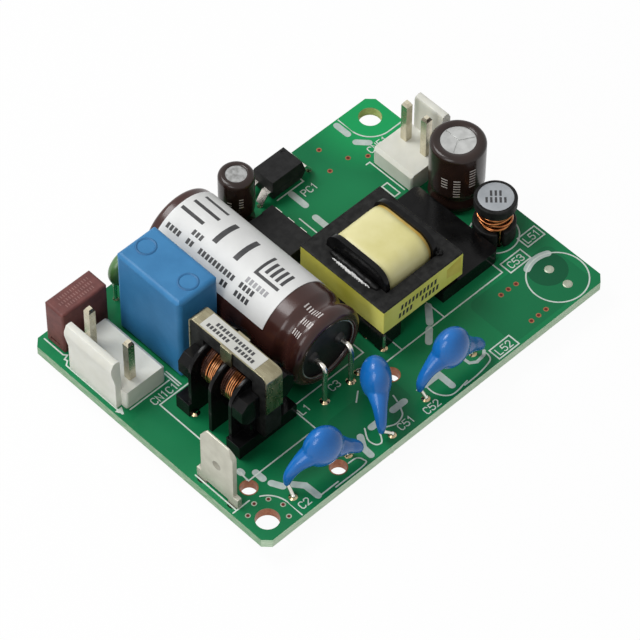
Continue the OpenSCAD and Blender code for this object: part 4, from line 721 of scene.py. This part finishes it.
neckedCan("bulk_capacitor_can", (bulk["x"], bulk["far"], bulk["z"]), (0, -1, 0), bulkNeck, canMetal)
face, bungFace = bulkNeck["end"] - bulk["dish"], bulk["far"] - boxOf("bulk_capacitor_bung")[0].y
rim, boss = bulk["bungRadius"], bulk["boss"]
bungParts = [turned([(face - 2, rim), (face - 0.1, rim), (face, rim - 0.15), (face, tip)], onBulk, 64)]
bossProfile = [(face - 0.1, boss + 0.25), (face + 0.15, boss), (bungFace - 0.1, boss - 0.1), (bungFace, boss - 0.3),
               (bungFace, tip)]
for side in (-1, 1):  # low bosses round the leads
    onLead = lying(bulk["x"] + side * bulk["leads"], bulk["far"], bulk["z"], -1)
    bungParts.append(turned(bossProfile, onLead, 28))
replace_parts(newPiece("bulk_bung_dished", gather(bungParts), rubber, "bung", sharp=50), "bulk_capacitor_bung")
bulkPrint = {  # turn in degrees, then start and end along the can
    "rows": [(137.5, 14.1, 15.8), (137, 16.9, 20), (125, 2.2, 5.4), (125, 6.2, 8), (125, 8.7, 16.2), (125, 16.9, 20),
             (112, 6.1, 8)],
    "pale": (115, 17.2, 21.4), "rowTurn": 7.4, "letter": 0.5, "gap": 0.22,
    "heavy": [((66, 106), (9.2, 10.1)), ((66, 106), (13.4, 14.3)), ((58, 63), (2.6, 7.2)), ((76, 81), (2.4, 7.4)),
              ((94, 99), (2, 6.4))],
    "square": ((68, 104), (17.3, 22)), "squareLine": 0.5, "squareBars": (1.1, 1.65), "squareInset": (5, 9),
    "endRows": [(92, 26.3, 29.3), (110, 27.4, 29.3), (128, 27.4, 29.2)], "endStep": 0.46, "endTurn": 4.2,
    "endLift": 0.03,
}
labelRadius = bulk["radius"] + bulk["labelOver"]


def wrapped(s, turn):  # curved field on the label, turn in degrees
    return turned([(s[0], labelRadius), (s[1], labelRadius)], onBulk, max(2, int((turn[1] - turn[0]) / 4)), turn)


def barRow(turn, start, end):
    half, letter = bulkPrint["rowTurn"] / 2, bulkPrint["letter"]
    return [wrapped((s, s + letter), (turn - half, turn + half))
            for s in spaced(start, end + 0.05 - letter, letter + bulkPrint["gap"])]


darkBars = [bar for row in bulkPrint["rows"] for bar in barRow(*row)]
darkBars += [wrapped(s, turn) for turn, s in bulkPrint["heavy"]]
(turnLow, turnHigh), (near, far) = bulkPrint["square"]
lineTurn = math.degrees(bulkPrint["squareLine"] / labelRadius)
darkBars += [wrapped((near, near + bulkPrint["squareLine"]), (turnLow, turnHigh)),
             wrapped((near, far), (turnHigh - lineTurn, turnHigh))]
inner = (turnLow + bulkPrint["squareInset"][0], turnHigh - bulkPrint["squareInset"][1])
darkBars += [wrapped([near + s + k for s in bulkPrint["squareBars"]], inner) for k in range(4)]
newPiece("bulk_label_bars", gather(darkBars), labelInk, "label")
newPiece("bulk_label_pale_bars", gather(barRow(*bulkPrint["pale"])), greyInk, "label")
endBars = []
for turn, start, end in bulkPrint["endRows"]:
    for s in spaced(start, end, bulkPrint["endStep"]):
        along = [s + k * 0.06 for k in range(4)]
        stroke = [(t, bulk["radius"] - neckIn(bulkNeck, t) + bulkPrint["endLift"]) for t in along]
        endBars.append(turned(stroke, onBulk, 5, (turn - bulkPrint["endTurn"], turn + bulkPrint["endTurn"])))
newPiece("bulk_sleeve_bars", gather(endBars), sleeveInk, "sleeve")

uprightCans = {  # columns of short bars: turn in degrees, start and end below the top
    "output_capacitor": {"columns": [(198, 4.2, 6.6), (224, 4.2, 8.2), (256, 2.4, 6.4)], "lap": (1.42, 1.0),
                         "metal": canMetal},
    "supply_capacitor": {"columns": [(205, 3.4, 5.4), (242, 2.6, 5.2)], "lap": (1.0, 0.8), "metal": canDull},
}
upright = {"corner": 0.75, "neckUp": 2.3, "neckHalf": 1.4, "neckDepth": 0.42, "barStep": 0.55, "barTall": 0.2,
           "barTurn": 7, "barLift": 0.014}
for name, can in uprightCans.items():
    low, high = boxOf(name + "_sleeve")
    x, y, radius = (low.x + high.x) / 2, (low.y + high.y) / 2, (high.x - low.x) / 2
    length, top = high.z - low.z - 2 * sleeveOver, high.z - sleeveOver
    neck = {"at": length - upright["neckUp"], "half": upright["neckHalf"], "depth": upright["neckDepth"],
            "end": length + sleeveOver, "corner": upright["corner"]}
    onCan = standing(x, y, top, -1)
    profile = sleeveProfile(radius, length, neck, can["lap"], (upright["corner"], upright["corner"]))
    sleeve = newPiece(name + "_sleeve_shrunk", turned(profile, onCan, 72), sleeveDark, "sleeve")
    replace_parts(sleeve, name + "_sleeve")
    neckedCan(name + "_can", (x, y, top), (0, 0, -1), neck, can["metal"])
    marks, out = [], radius + upright["barLift"]
    for turn, start, end in can["columns"]:
        for k in range(int((end - start) / upright["barStep"])):
            s = start + upright["barStep"] * k
            marks.append(turned([(s, out), (s + upright["barTall"], out)], onCan, 4,
                                (turn - upright["barTurn"], turn + upright["barTurn"])))
    newPiece(name + "_bars", gather(marks), sleeveInk, "sleeve")
print("capacitor cans dressed")


# Dipped capacitors: resin round a disc, drawn out along the two legs
dipped = {"discReach": 3.0, "discHalf": 2.2, "discRise": 3.5, "voxel": 0.13, "rounds": 10, "centreUp": 6.35,
          "longLeg": [(-0.9, 6.0, 1.85), (-2.6, 5.5, 1.4), (-3.8, 4.9, 1.08), (-4.8, 3.95, 0.9), (-5.4, 2.9, 0.74),
                      (-5.6, 1.75, 0.5)],
          "shortLeg": [(0.9, 5.8, 1.85), (2.5, 4.75, 1.5), (3.8, 3.85, 1.12), (4.8, 3.1, 1.0), (5.4, 2.5, 0.88),
                       (5.65, 1.85, 0.58)],
          "at": {"y_capacitor_input": ((-19.4, -20.5), -14), "y_capacitor_middle": ((-6.25, -17.25), 54),
                 "y_capacitor_output": ((4.9, -20.65), -3)}}


def resinBody(name, centre, turn):
    bm = bmesh.new()
    place = Matrix.Translation(Vector((*centre, boardTop)) * mm) @ Matrix.Rotation(math.radians(turn), 4, "Z")
    shape = Matrix.Diagonal((dipped["discReach"] * mm, dipped["discHalf"] * mm, dipped["discRise"] * mm, 1))
    lift = Matrix.Translation((0, 0, dipped["centreUp"] * mm))
    bmesh.ops.create_icosphere(bm, subdivisions=5, radius=1, matrix=place @ lift @ shape)
    for leg in (dipped["longLeg"], dipped["shortLeg"]):
        for x, z, r in smoothPath(leg, 9):
            bmesh.ops.create_icosphere(bm, subdivisions=3, radius=r * mm,
                                       matrix=place @ Matrix.Translation((x * mm, 0, z * mm)))
    mesh = bpy.data.meshes.new("resin")
    bm.to_mesh(mesh)
    bm.free()
    rough = linked("resin", mesh)
    remesh = rough.modifiers.new("join", "REMESH")
    remesh.mode, remesh.voxel_size = "VOXEL", dipped["voxel"] * mm
    settle = rough.modifiers.new("settle", "SMOOTH")
    settle.factor, settle.iterations = 0.5, dipped["rounds"]
    shaped = bpy.data.meshes.new_from_object(rough.evaluated_get(bpy.context.evaluated_depsgraph_get()))
    bpy.data.objects.remove(rough)
    return dress(linked(name + "_resin", shaped), blueResin, "blue_coating")


for name, (centre, turn) in dipped["at"].items():
    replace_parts(resinBody(name, centre, turn), name)
print("dipped capacitors shaped")


# Transformer: taped winding, black varnish and dried glue at the flange, tape edge
tapeLow, tapeHigh = boxOf("transformer_winding")
taped = {"corner": 4.0, "tight": 2.9, "amber": 0.5, "steps": 8, "rows": 9, "wave": 0.05, "waveRate": 0.9,
         "stray": 0.03, "seed": 4,  # below, places along the winding with their inset
         "start": [(0, 0.6), (0, 0.22), (0.12, 0.06)], "end": [(-0.05, 0.03), (0, 0.1), (0, 0.5)],
         "amberStart": (-0.2, 0.13), "amberEnd": [(-0.1, 0.13), (0, 0.25), (0, 0.8)]}
centreY, centreZ = (tapeLow.y + tapeHigh.y) / 2, (tapeLow.z + tapeHigh.z) / 2
halfY, halfZ = (tapeHigh.y - tapeLow.y) / 2, (tapeHigh.z - tapeLow.z) / 2


def windingLoop(x, inset, drift=0.0):
    loop = []
    for cy, cz, start in ((1, 1, 0), (-1, 1, 90), (-1, -1, 180), (1, -1, 270)):
        r = taped["tight"] if cz > 0 else taped["corner"]
        for py, pz in arc((cy * (halfY - r), cz * (halfZ - r)), r - inset, start, start + 90, taped["steps"]):
            loop.append((x, centreY + py, centreZ + pz + drift * math.sin(taped["waveRate"] * py)))
    return loop


random.seed(taped["seed"])
x0, x1 = tapeLow.x, tapeHigh.x
yellowEnd = x1 - taped["amber"]
stations = [(x0 + along, inset) for along, inset in taped["start"]]
stations += [(x0 + (yellowEnd - x0) * k / taped["rows"], 0.0) for k in range(1, taped["rows"])]
loops = []
for x, inset in stations:
    uneven = taped["stray"] * random.random() if inset > 0 else 0
    loops.append(windingLoop(x, inset + uneven, taped["wave"] * random.uniform(-1, 1)))
loops += [windingLoop(yellowEnd + along, inset) for along, inset in taped["end"]]
winding = newPiece("transformer_tape_layers", lofted(loops), tapeYellow, "tape")
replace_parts(winding, "transformer_winding")
amberStations = [(yellowEnd + taped["amberStart"][0], taped["amberStart"][1])]
amberStations += [(x1 + along, inset) for along, inset in taped["amberEnd"]]
newPiece("transformer_tape_under", lofted([windingLoop(*place) for place in amberStations]), tapeAmber, "tape")

coreLow, coreHigh = boxOf("transformer_core_input")
flange = {"x": 3.65, "from": 1.6, "to": -7.6, "bead": 0.62, "beadStray": 0.18, "beadUp": 0.02, "beadEnd": 8,
          "beadSteps": 30, "beadShare": (0.55, 0.45),
          "glueX": 2.95, "glueFrom": 0.8, "glueTo": -6.6, "glueStray": 0.1, "glueUp": 0.03, "glueSteps": 44,
          "glueThick": (0.03, 0.19, 0.12), "glueBulge": 0.6,
          "lumpOut": 1.25, "lumpFrom": -9.1, "lumpTo": -6.4, "lumpUp": 0.3, "lumpSteps": 12, "lumpRound": 3,
          "lumpShare": (0.6, 0.22), "lumpRate": 1.9, "seed": 9}
random.seed(flange["seed"])
bead = [(flange["x"] - flange["beadStray"] * random.random(), y, coreHigh.z + flange["beadUp"])
        for y in run(flange["from"], flange["to"], flange["beadSteps"])]
taper = [min(1, (i + 1) / flange["beadEnd"], (len(bead) - i) / flange["beadEnd"]) for i in range(len(bead))]
least, more = flange["beadShare"]
beadRadius = [flange["bead"] * (least + more * math.sin(math.pi * share / 2)) for share in taper]
newPiece("transformer_varnish_bead", tube(bead, beadRadius, 12), varnish)
glue = [(flange["glueX"] + flange["glueStray"] * random.uniform(-1, 1), y, coreHigh.z + flange["glueUp"])
        for y in run(flange["glueFrom"], flange["glueTo"], flange["glueSteps"])]
least, more, stray = flange["glueThick"]
thickness = [least + (more + stray * random.random())
             * math.sin(math.pi * i / flange["glueSteps"]) ** flange["glueBulge"] for i in range(len(glue))]
newPiece("transformer_glue_streak", tube(glue, thickness, 8), glueWhite)
lumps = [(x1 + flange["lumpOut"] * random.uniform(0.5, 1), y, coreHigh.z + flange["lumpUp"] * random.random())
         for y in run(flange["lumpFrom"], flange["lumpTo"], flange["lumpSteps"])]
lumpPath = smoothPath(lumps, flange["lumpRound"])
least, more = flange["lumpShare"]
lumpRadius = [flange["bead"] * (least + more * math.sin(flange["lumpRate"] * i)) for i in range(len(lumpPath))]
newPiece("transformer_varnish_lumps", tube(lumpPath, lumpRadius, 10), varnish)

bandLow, bandHigh = boxOf("transformer_tape")
rim = {"inset": 0.05, "over": 0.008, "coreUp": 0.012, "bandUp": (0.02, -0.1)}
inset, over = rim["inset"], rim["over"]
rims = [(coreLow.x + inset, boxOf("transformer_core_output")[1].x - inset, coreLow.y + inset, coreHigh.y - inset,
         coreHigh.z + rim["coreUp"])]
rims += [(bandLow.x - over, bandHigh.x + over, bandLow.y - over, bandHigh.y + over, bandHigh.z + up)
         for up in rim["bandUp"]]
rimLoops = [[(a, c, z), (b, c, z), (b, d, z), (a, d, z)] for a, b, c, d, z in rims]
newPiece("transformer_varnish_rim", lofted(rimLoops), ferrite, smooth=False)
bandPrint = {"rows": [(0.62, 4.6, 11.6), (0.3, 4.2, 6.4), (0.3, 8.6, 11.8)], "tall": 1.0, "wide": 0.42, "lean": 0.12,
             "step": 0.72, "lift": 0.012,
             "stain": [(13.6, 0.35), (16.4, 0.2), (16.4, 0.9), (13.6, 0.75)]}  # x and share of the band's height
tall = bandHigh.z - bandLow.z
y, half, wide, lean = bandLow.y - bandPrint["lift"], bandPrint["tall"] / 2, bandPrint["wide"], bandPrint["lean"]
bars = []
for row, start, end in bandPrint["rows"]:
    low, high = bandLow.z + row * tall - half, bandLow.z + row * tall + half
    bars += [quad([(x, y, low), (x + wide, y, low), (x + wide + lean, y, high), (x + lean, y, high)])
             for x in spaced(start, end, bandPrint["step"])]
flatPiece("transformer_band_bars", bars, labelInk, "tape")
stain = quad([(x, bandLow.y - over, bandLow.z + share * tall) for x, share in bandPrint["stain"]])
flatPiece("transformer_band_lap", [stain], bandStain, "tape")
print("transformer taped")


# Output inductor: painted top, loose turns and two tails
drumLow, drumHigh = boxOf("output_inductor_core")
drum = {"disc": 2.35, "rim": 2.6, "paint": (0.002, 0.03), "inkUp": 0.045, "turns": 5, "steps": 24, "wire": 0.24,
        "coil": 2.35, "tailTurn": 62, "tailOut": 2.4, "tailEnd": -2.3, "tailRise": (0.4, 0.6), "under": (1.6, 2.2),
        "foot": 3.1, "topGap": 0.1, "sway": (0.12, 0.7), "stray": 0.06, "start": 0.3, "spare": 0.5, "tilt": 0.18,
        "seed": 3}
drumX, drumY = (drumLow.x + drumHigh.x) / 2, (drumLow.y + drumHigh.y) / 2
paintLow, paintTop = (drumHigh.z + up for up in drum["paint"])
painted = [(paintLow, drum["rim"]), (paintTop, drum["disc"]), (paintTop, tip)]
newPiece("drum_painted_top", turned(painted, standing(drumX, drumY), 48), discGrey)
drumStrokes = {"rows": [(0.62, 3), (-0.62, 5)], "tall": 1.0, "wide": 0.34, "step": 0.66, "turn": math.radians(-44)}
across = Vector((math.cos(drumStrokes["turn"]), math.sin(drumStrokes["turn"]), 0))
upward = Vector((-across.y, across.x, 0))
w, h = across * drumStrokes["wide"] / 2, upward * drumStrokes["tall"] / 2
bars = []
for row, number in drumStrokes["rows"]:
    for k in range(number):
        middle = Vector((drumX, drumY, drumHigh.z + drum["inkUp"])) + upward * row
        middle += across * drumStrokes["step"] * (k - (number - 1) / 2)
        bars.append(quad([middle - w - h, middle + w - h, middle + w + h, middle - w + h]))
flatPiece("drum_strokes", bars, labelInk, "ferrite")


def drumPoint(turn, out, z):
    return drumX + out * math.cos(turn), drumY + out * math.sin(turn), z


random.seed(drum["seed"])
bottom, topZ = boardTop + drum["foot"], boxOf("output_inductor_winding")[1].z - drum["topGap"]
tails = [math.radians(drum["tailTurn"]), math.radians(drum["tailTurn"] + 180)]
path = [drumPoint(tails[0], drum["tailOut"], z) for z in (drum["tailEnd"], boardTop + drum["tailRise"][0])]
count = drum["turns"] * drum["steps"]
for i in range(count + 1):
    turn = tails[0] + 2 * math.pi * i / drum["steps"] + math.pi * i / count
    wobble = drum["coil"] + drum["sway"][0] * math.sin(drum["sway"][1] * i) + drum["stray"] * random.random()
    climb = (topZ - bottom - drum["spare"]) * (0.5 - 0.5 * math.cos(2 * math.pi * i / count))
    path.append(drumPoint(turn, wobble, bottom + drum["start"] + climb + drum["tilt"] * math.sin(turn)))
path += [drumPoint(tails[1], drum["tailOut"], z) for z in (boardTop + drum["tailRise"][1], drum["tailEnd"])]
coil = newPiece("drum_turns", tube(smoothPath(path, 2), drum["wire"], 8), copperWire, "enamelled_wire")
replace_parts(coil, "output_inductor_winding")
deep, shallow = drum["under"]
inner = [(bottom, deep), (bottom, shallow), (topZ, shallow), (topZ, deep)]
newPiece("drum_inner_turns", turned(inner, standing(drumX, drumY), 40), copperDeep, "enamelled_wire")
print("inductor wound")


# Chip parts: ceramic bodies with tinned ends
chips = {"chip_resistors": (epoxy, "chip_black"), "chip_capacitors": (chipCeramic, "chip_tan")}
for node, (material, slot) in chips.items():
    bm = solidMesh(node)
    left = set(bm.faces)
    while left:
        island, edge = set(), [left.pop()]
        while edge:
            face = edge.pop()
            island.add(face)
            near = {f for e in face.edges for f in e.link_faces} & left
            left -= near
            edge += near
        xs = [v.co.x for f in island for v in f.verts]
        middle, half = (min(xs) + max(xs)) / 2, (max(xs) - min(xs)) / 2
        for face in island:
            face.material_index = int(abs(face.calc_center_median().x - middle) > 0.55 * half)
    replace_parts(fromBmesh(node + "_tinned", bm, [material, solder], slot, smooth=False), node)

# Copper areas under the mask on the solder side
under = {"level": boardLow - 0.006, "trackDrop": 0.008, "step": 0.0005,
         "fields": [((-32, -22.6), (14, 22.8), 1.0), ((-22.4, -14.6), (14.2, 22.8), 1.0), ((-22.4, -13), (1, 8), 1.0),
                    ((-29.8, -23), (-11.5, 9.6), 1.0), ((-18.2, -11), (-14, -1), 1.0), ((-7, -2.2), (-13.5, 12), 1.0),
                    ((0.2, 9), (-9, 9.4), 1.0), ((15.5, 24.4), (-12, 5), 1.2), ((16.6, 32), (-23, -13), 1.2),
                    ((25.4, 32.2), (-11.5, 12.8), 1.2), ((5.6, 17.6), (14.6, 22.9), 1.0),
                    ((17, 25), (12.6, 21.6), 1.0)]}
tracks = [  # drawn from joint to joint on the solder side, then the width
    ([(-28.8, 15.8), (-29.44, 18.4), (-29.44, 20.9)], 2.0), ([(-24.36, 20.9), (-19.4, 21.4)], 2.0),
    ([(-14.9, 21.4), (-13.2, 18.6), (-18.58, 16.1)], 1.8), ([(-28.8, 7.9), (-24, 6.1), (-18.58, 6.1)], 2.0),
    ([(-18.58, 6.1), (-16.28, 3.4), (-16.28, 0.3)], 1.8), ([(-18.58, 16.1), (-24.4, 12), (-24.88, 0.3)], 1.6),
    ([(-24.88, -9.6), (-21.4, -13.4), (-12.4, -13.4), (-10.63, -11.8)], 1.6),
    ([(-31.4, -12.75), (-28, -17.6), (-25, -20.5)], 1.8),
    ([(-5.63, -11.8), (-3.2, -6.4), (1.6, -4.6)], 1.6), ([(-8, -22.35), (-4.4, -22.9), (-0.3, -21.15)], 1.4),
    ([(9.9, -20.1), (14.4, -17.6), (18.8, -17.6)], 1.8), ([(22.75, -9.4), (25, -14), (28.37, -17.08)], 2.0),
    ([(22.75, 2.4), (26.4, 4.6), (28.8, 8.3)], 2.0), ([(28.75, -0.2), (30.9, 4.4), (28.8, 12.2)], 1.6),
]
tracksLow = under["level"] - under["trackDrop"]
flatPiece("copper_tracks_under", [ribbon(points, width, tracksLow - under["step"] * k)
                                  for k, (points, width) in enumerate(tracks)], trackGreen, "board")
flatPiece("copper_areas_under", [roundedField(*field, under["level"] - under["step"] * k)
                                 for k, field in enumerate(under["fields"])], pourGreen, "board")
print("underside dressed")

# Floor, light and camera
stage = {"floorZ": -2.4, "floorSize": 4.0, "fill": 0.3, "floorGlow": 0.96}
half = stage["floorSize"] / 2
floorMesh = bpy.data.meshes.new("floor")
floorMesh.from_pydata([(sx * half, sy * half, stage["floorZ"] * mm) for sx, sy in ((-1, -1), (1, -1), (1, 1), (-1, 1))],
                      [], [(0, 1, 2, 3)])
floor = linked("floor", floorMesh)


def seenRays(tree):  # 1 for rays that show the background, 0 for rays that only light the object
    path = add(tree, "LightPath")
    two = add(tree, "Math", {0: path.outputs["Is Camera Ray"], 1: path.outputs["Is Glossy Ray"]}, operation="ADD")
    return add(tree, "Math", {0: two.outputs[0], 1: path.outputs["Is Transmission Ray"]}, operation="ADD",
               use_clamp=True).outputs[0]


floorPaint, tree, bsdf = shader("paleFloor")
feed(bsdf, Base_Color=(0.8, 0.8, 0.8, 1), Roughness=0.9)
share = span(tree, seenRays(tree), 0.0, stage["floorGlow"])
mixed = add(tree, "MixShader", {0: share, 1: bsdf.outputs[0], 2: add(tree, "Emission").outputs[0]})
feed(tree.nodes["Material Output"], Surface=mixed.outputs[0])
floorMesh.materials.append(floorPaint)

world = bpy.data.worlds.new("studio")
scene.world = world
world.use_nodes = True
tree = world.node_tree
feed(tree.nodes["Background"], Strength=span(tree, seenRays(tree), stage["fill"], 1.0), Color=(1, 1, 1, 1))

lamps = {  # place and size in millimetres, power in watts
    "overheadBox": {"at": (-90, 195, 325), "size": (210, 160), "power": 1.0},
    "leftBox": {"at": (-330, -60, 240), "size": (180, 240), "power": 0.6},
}
for name, lamp in lamps.items():
    light = bpy.data.lights.new(name, "AREA")
    light.shape = "RECTANGLE"
    light.size, light.size_y = lamp["size"][0] * mm, lamp["size"][1] * mm
    light.energy = lamp["power"]
    lampObject = linked(name, light)
    lampObject.location = Vector(lamp["at"]) * mm
    lampObject.rotation_euler = (-lampObject.location).to_track_quat("-Z", "Y").to_euler()

shot = {"at": (-241.209, -247.378, 443.302), "lens": 225.0, "sensor": 36, "clipEnd": 10,
        "right": (0.719757, -0.694214, 0.003986), "down": (-0.546118, -0.569738, -0.614129),
        "ahead": (0.428608, 0.439847, -0.789196)}
lens = bpy.data.cameras.new("camera")
lens.lens, lens.sensor_width, lens.clip_end = shot["lens"], shot["sensor"], shot["clipEnd"]
camera = linked("camera", lens)
axes = Matrix((Vector(shot["right"]), -Vector(shot["down"]), -Vector(shot["ahead"]))).transposed()
camera.matrix_world = Matrix.Translation(Vector(shot["at"]) * mm) @ axes.to_4x4()
scene.camera = camera
scene.view_settings.view_transform = "Standard"
print("stage set")
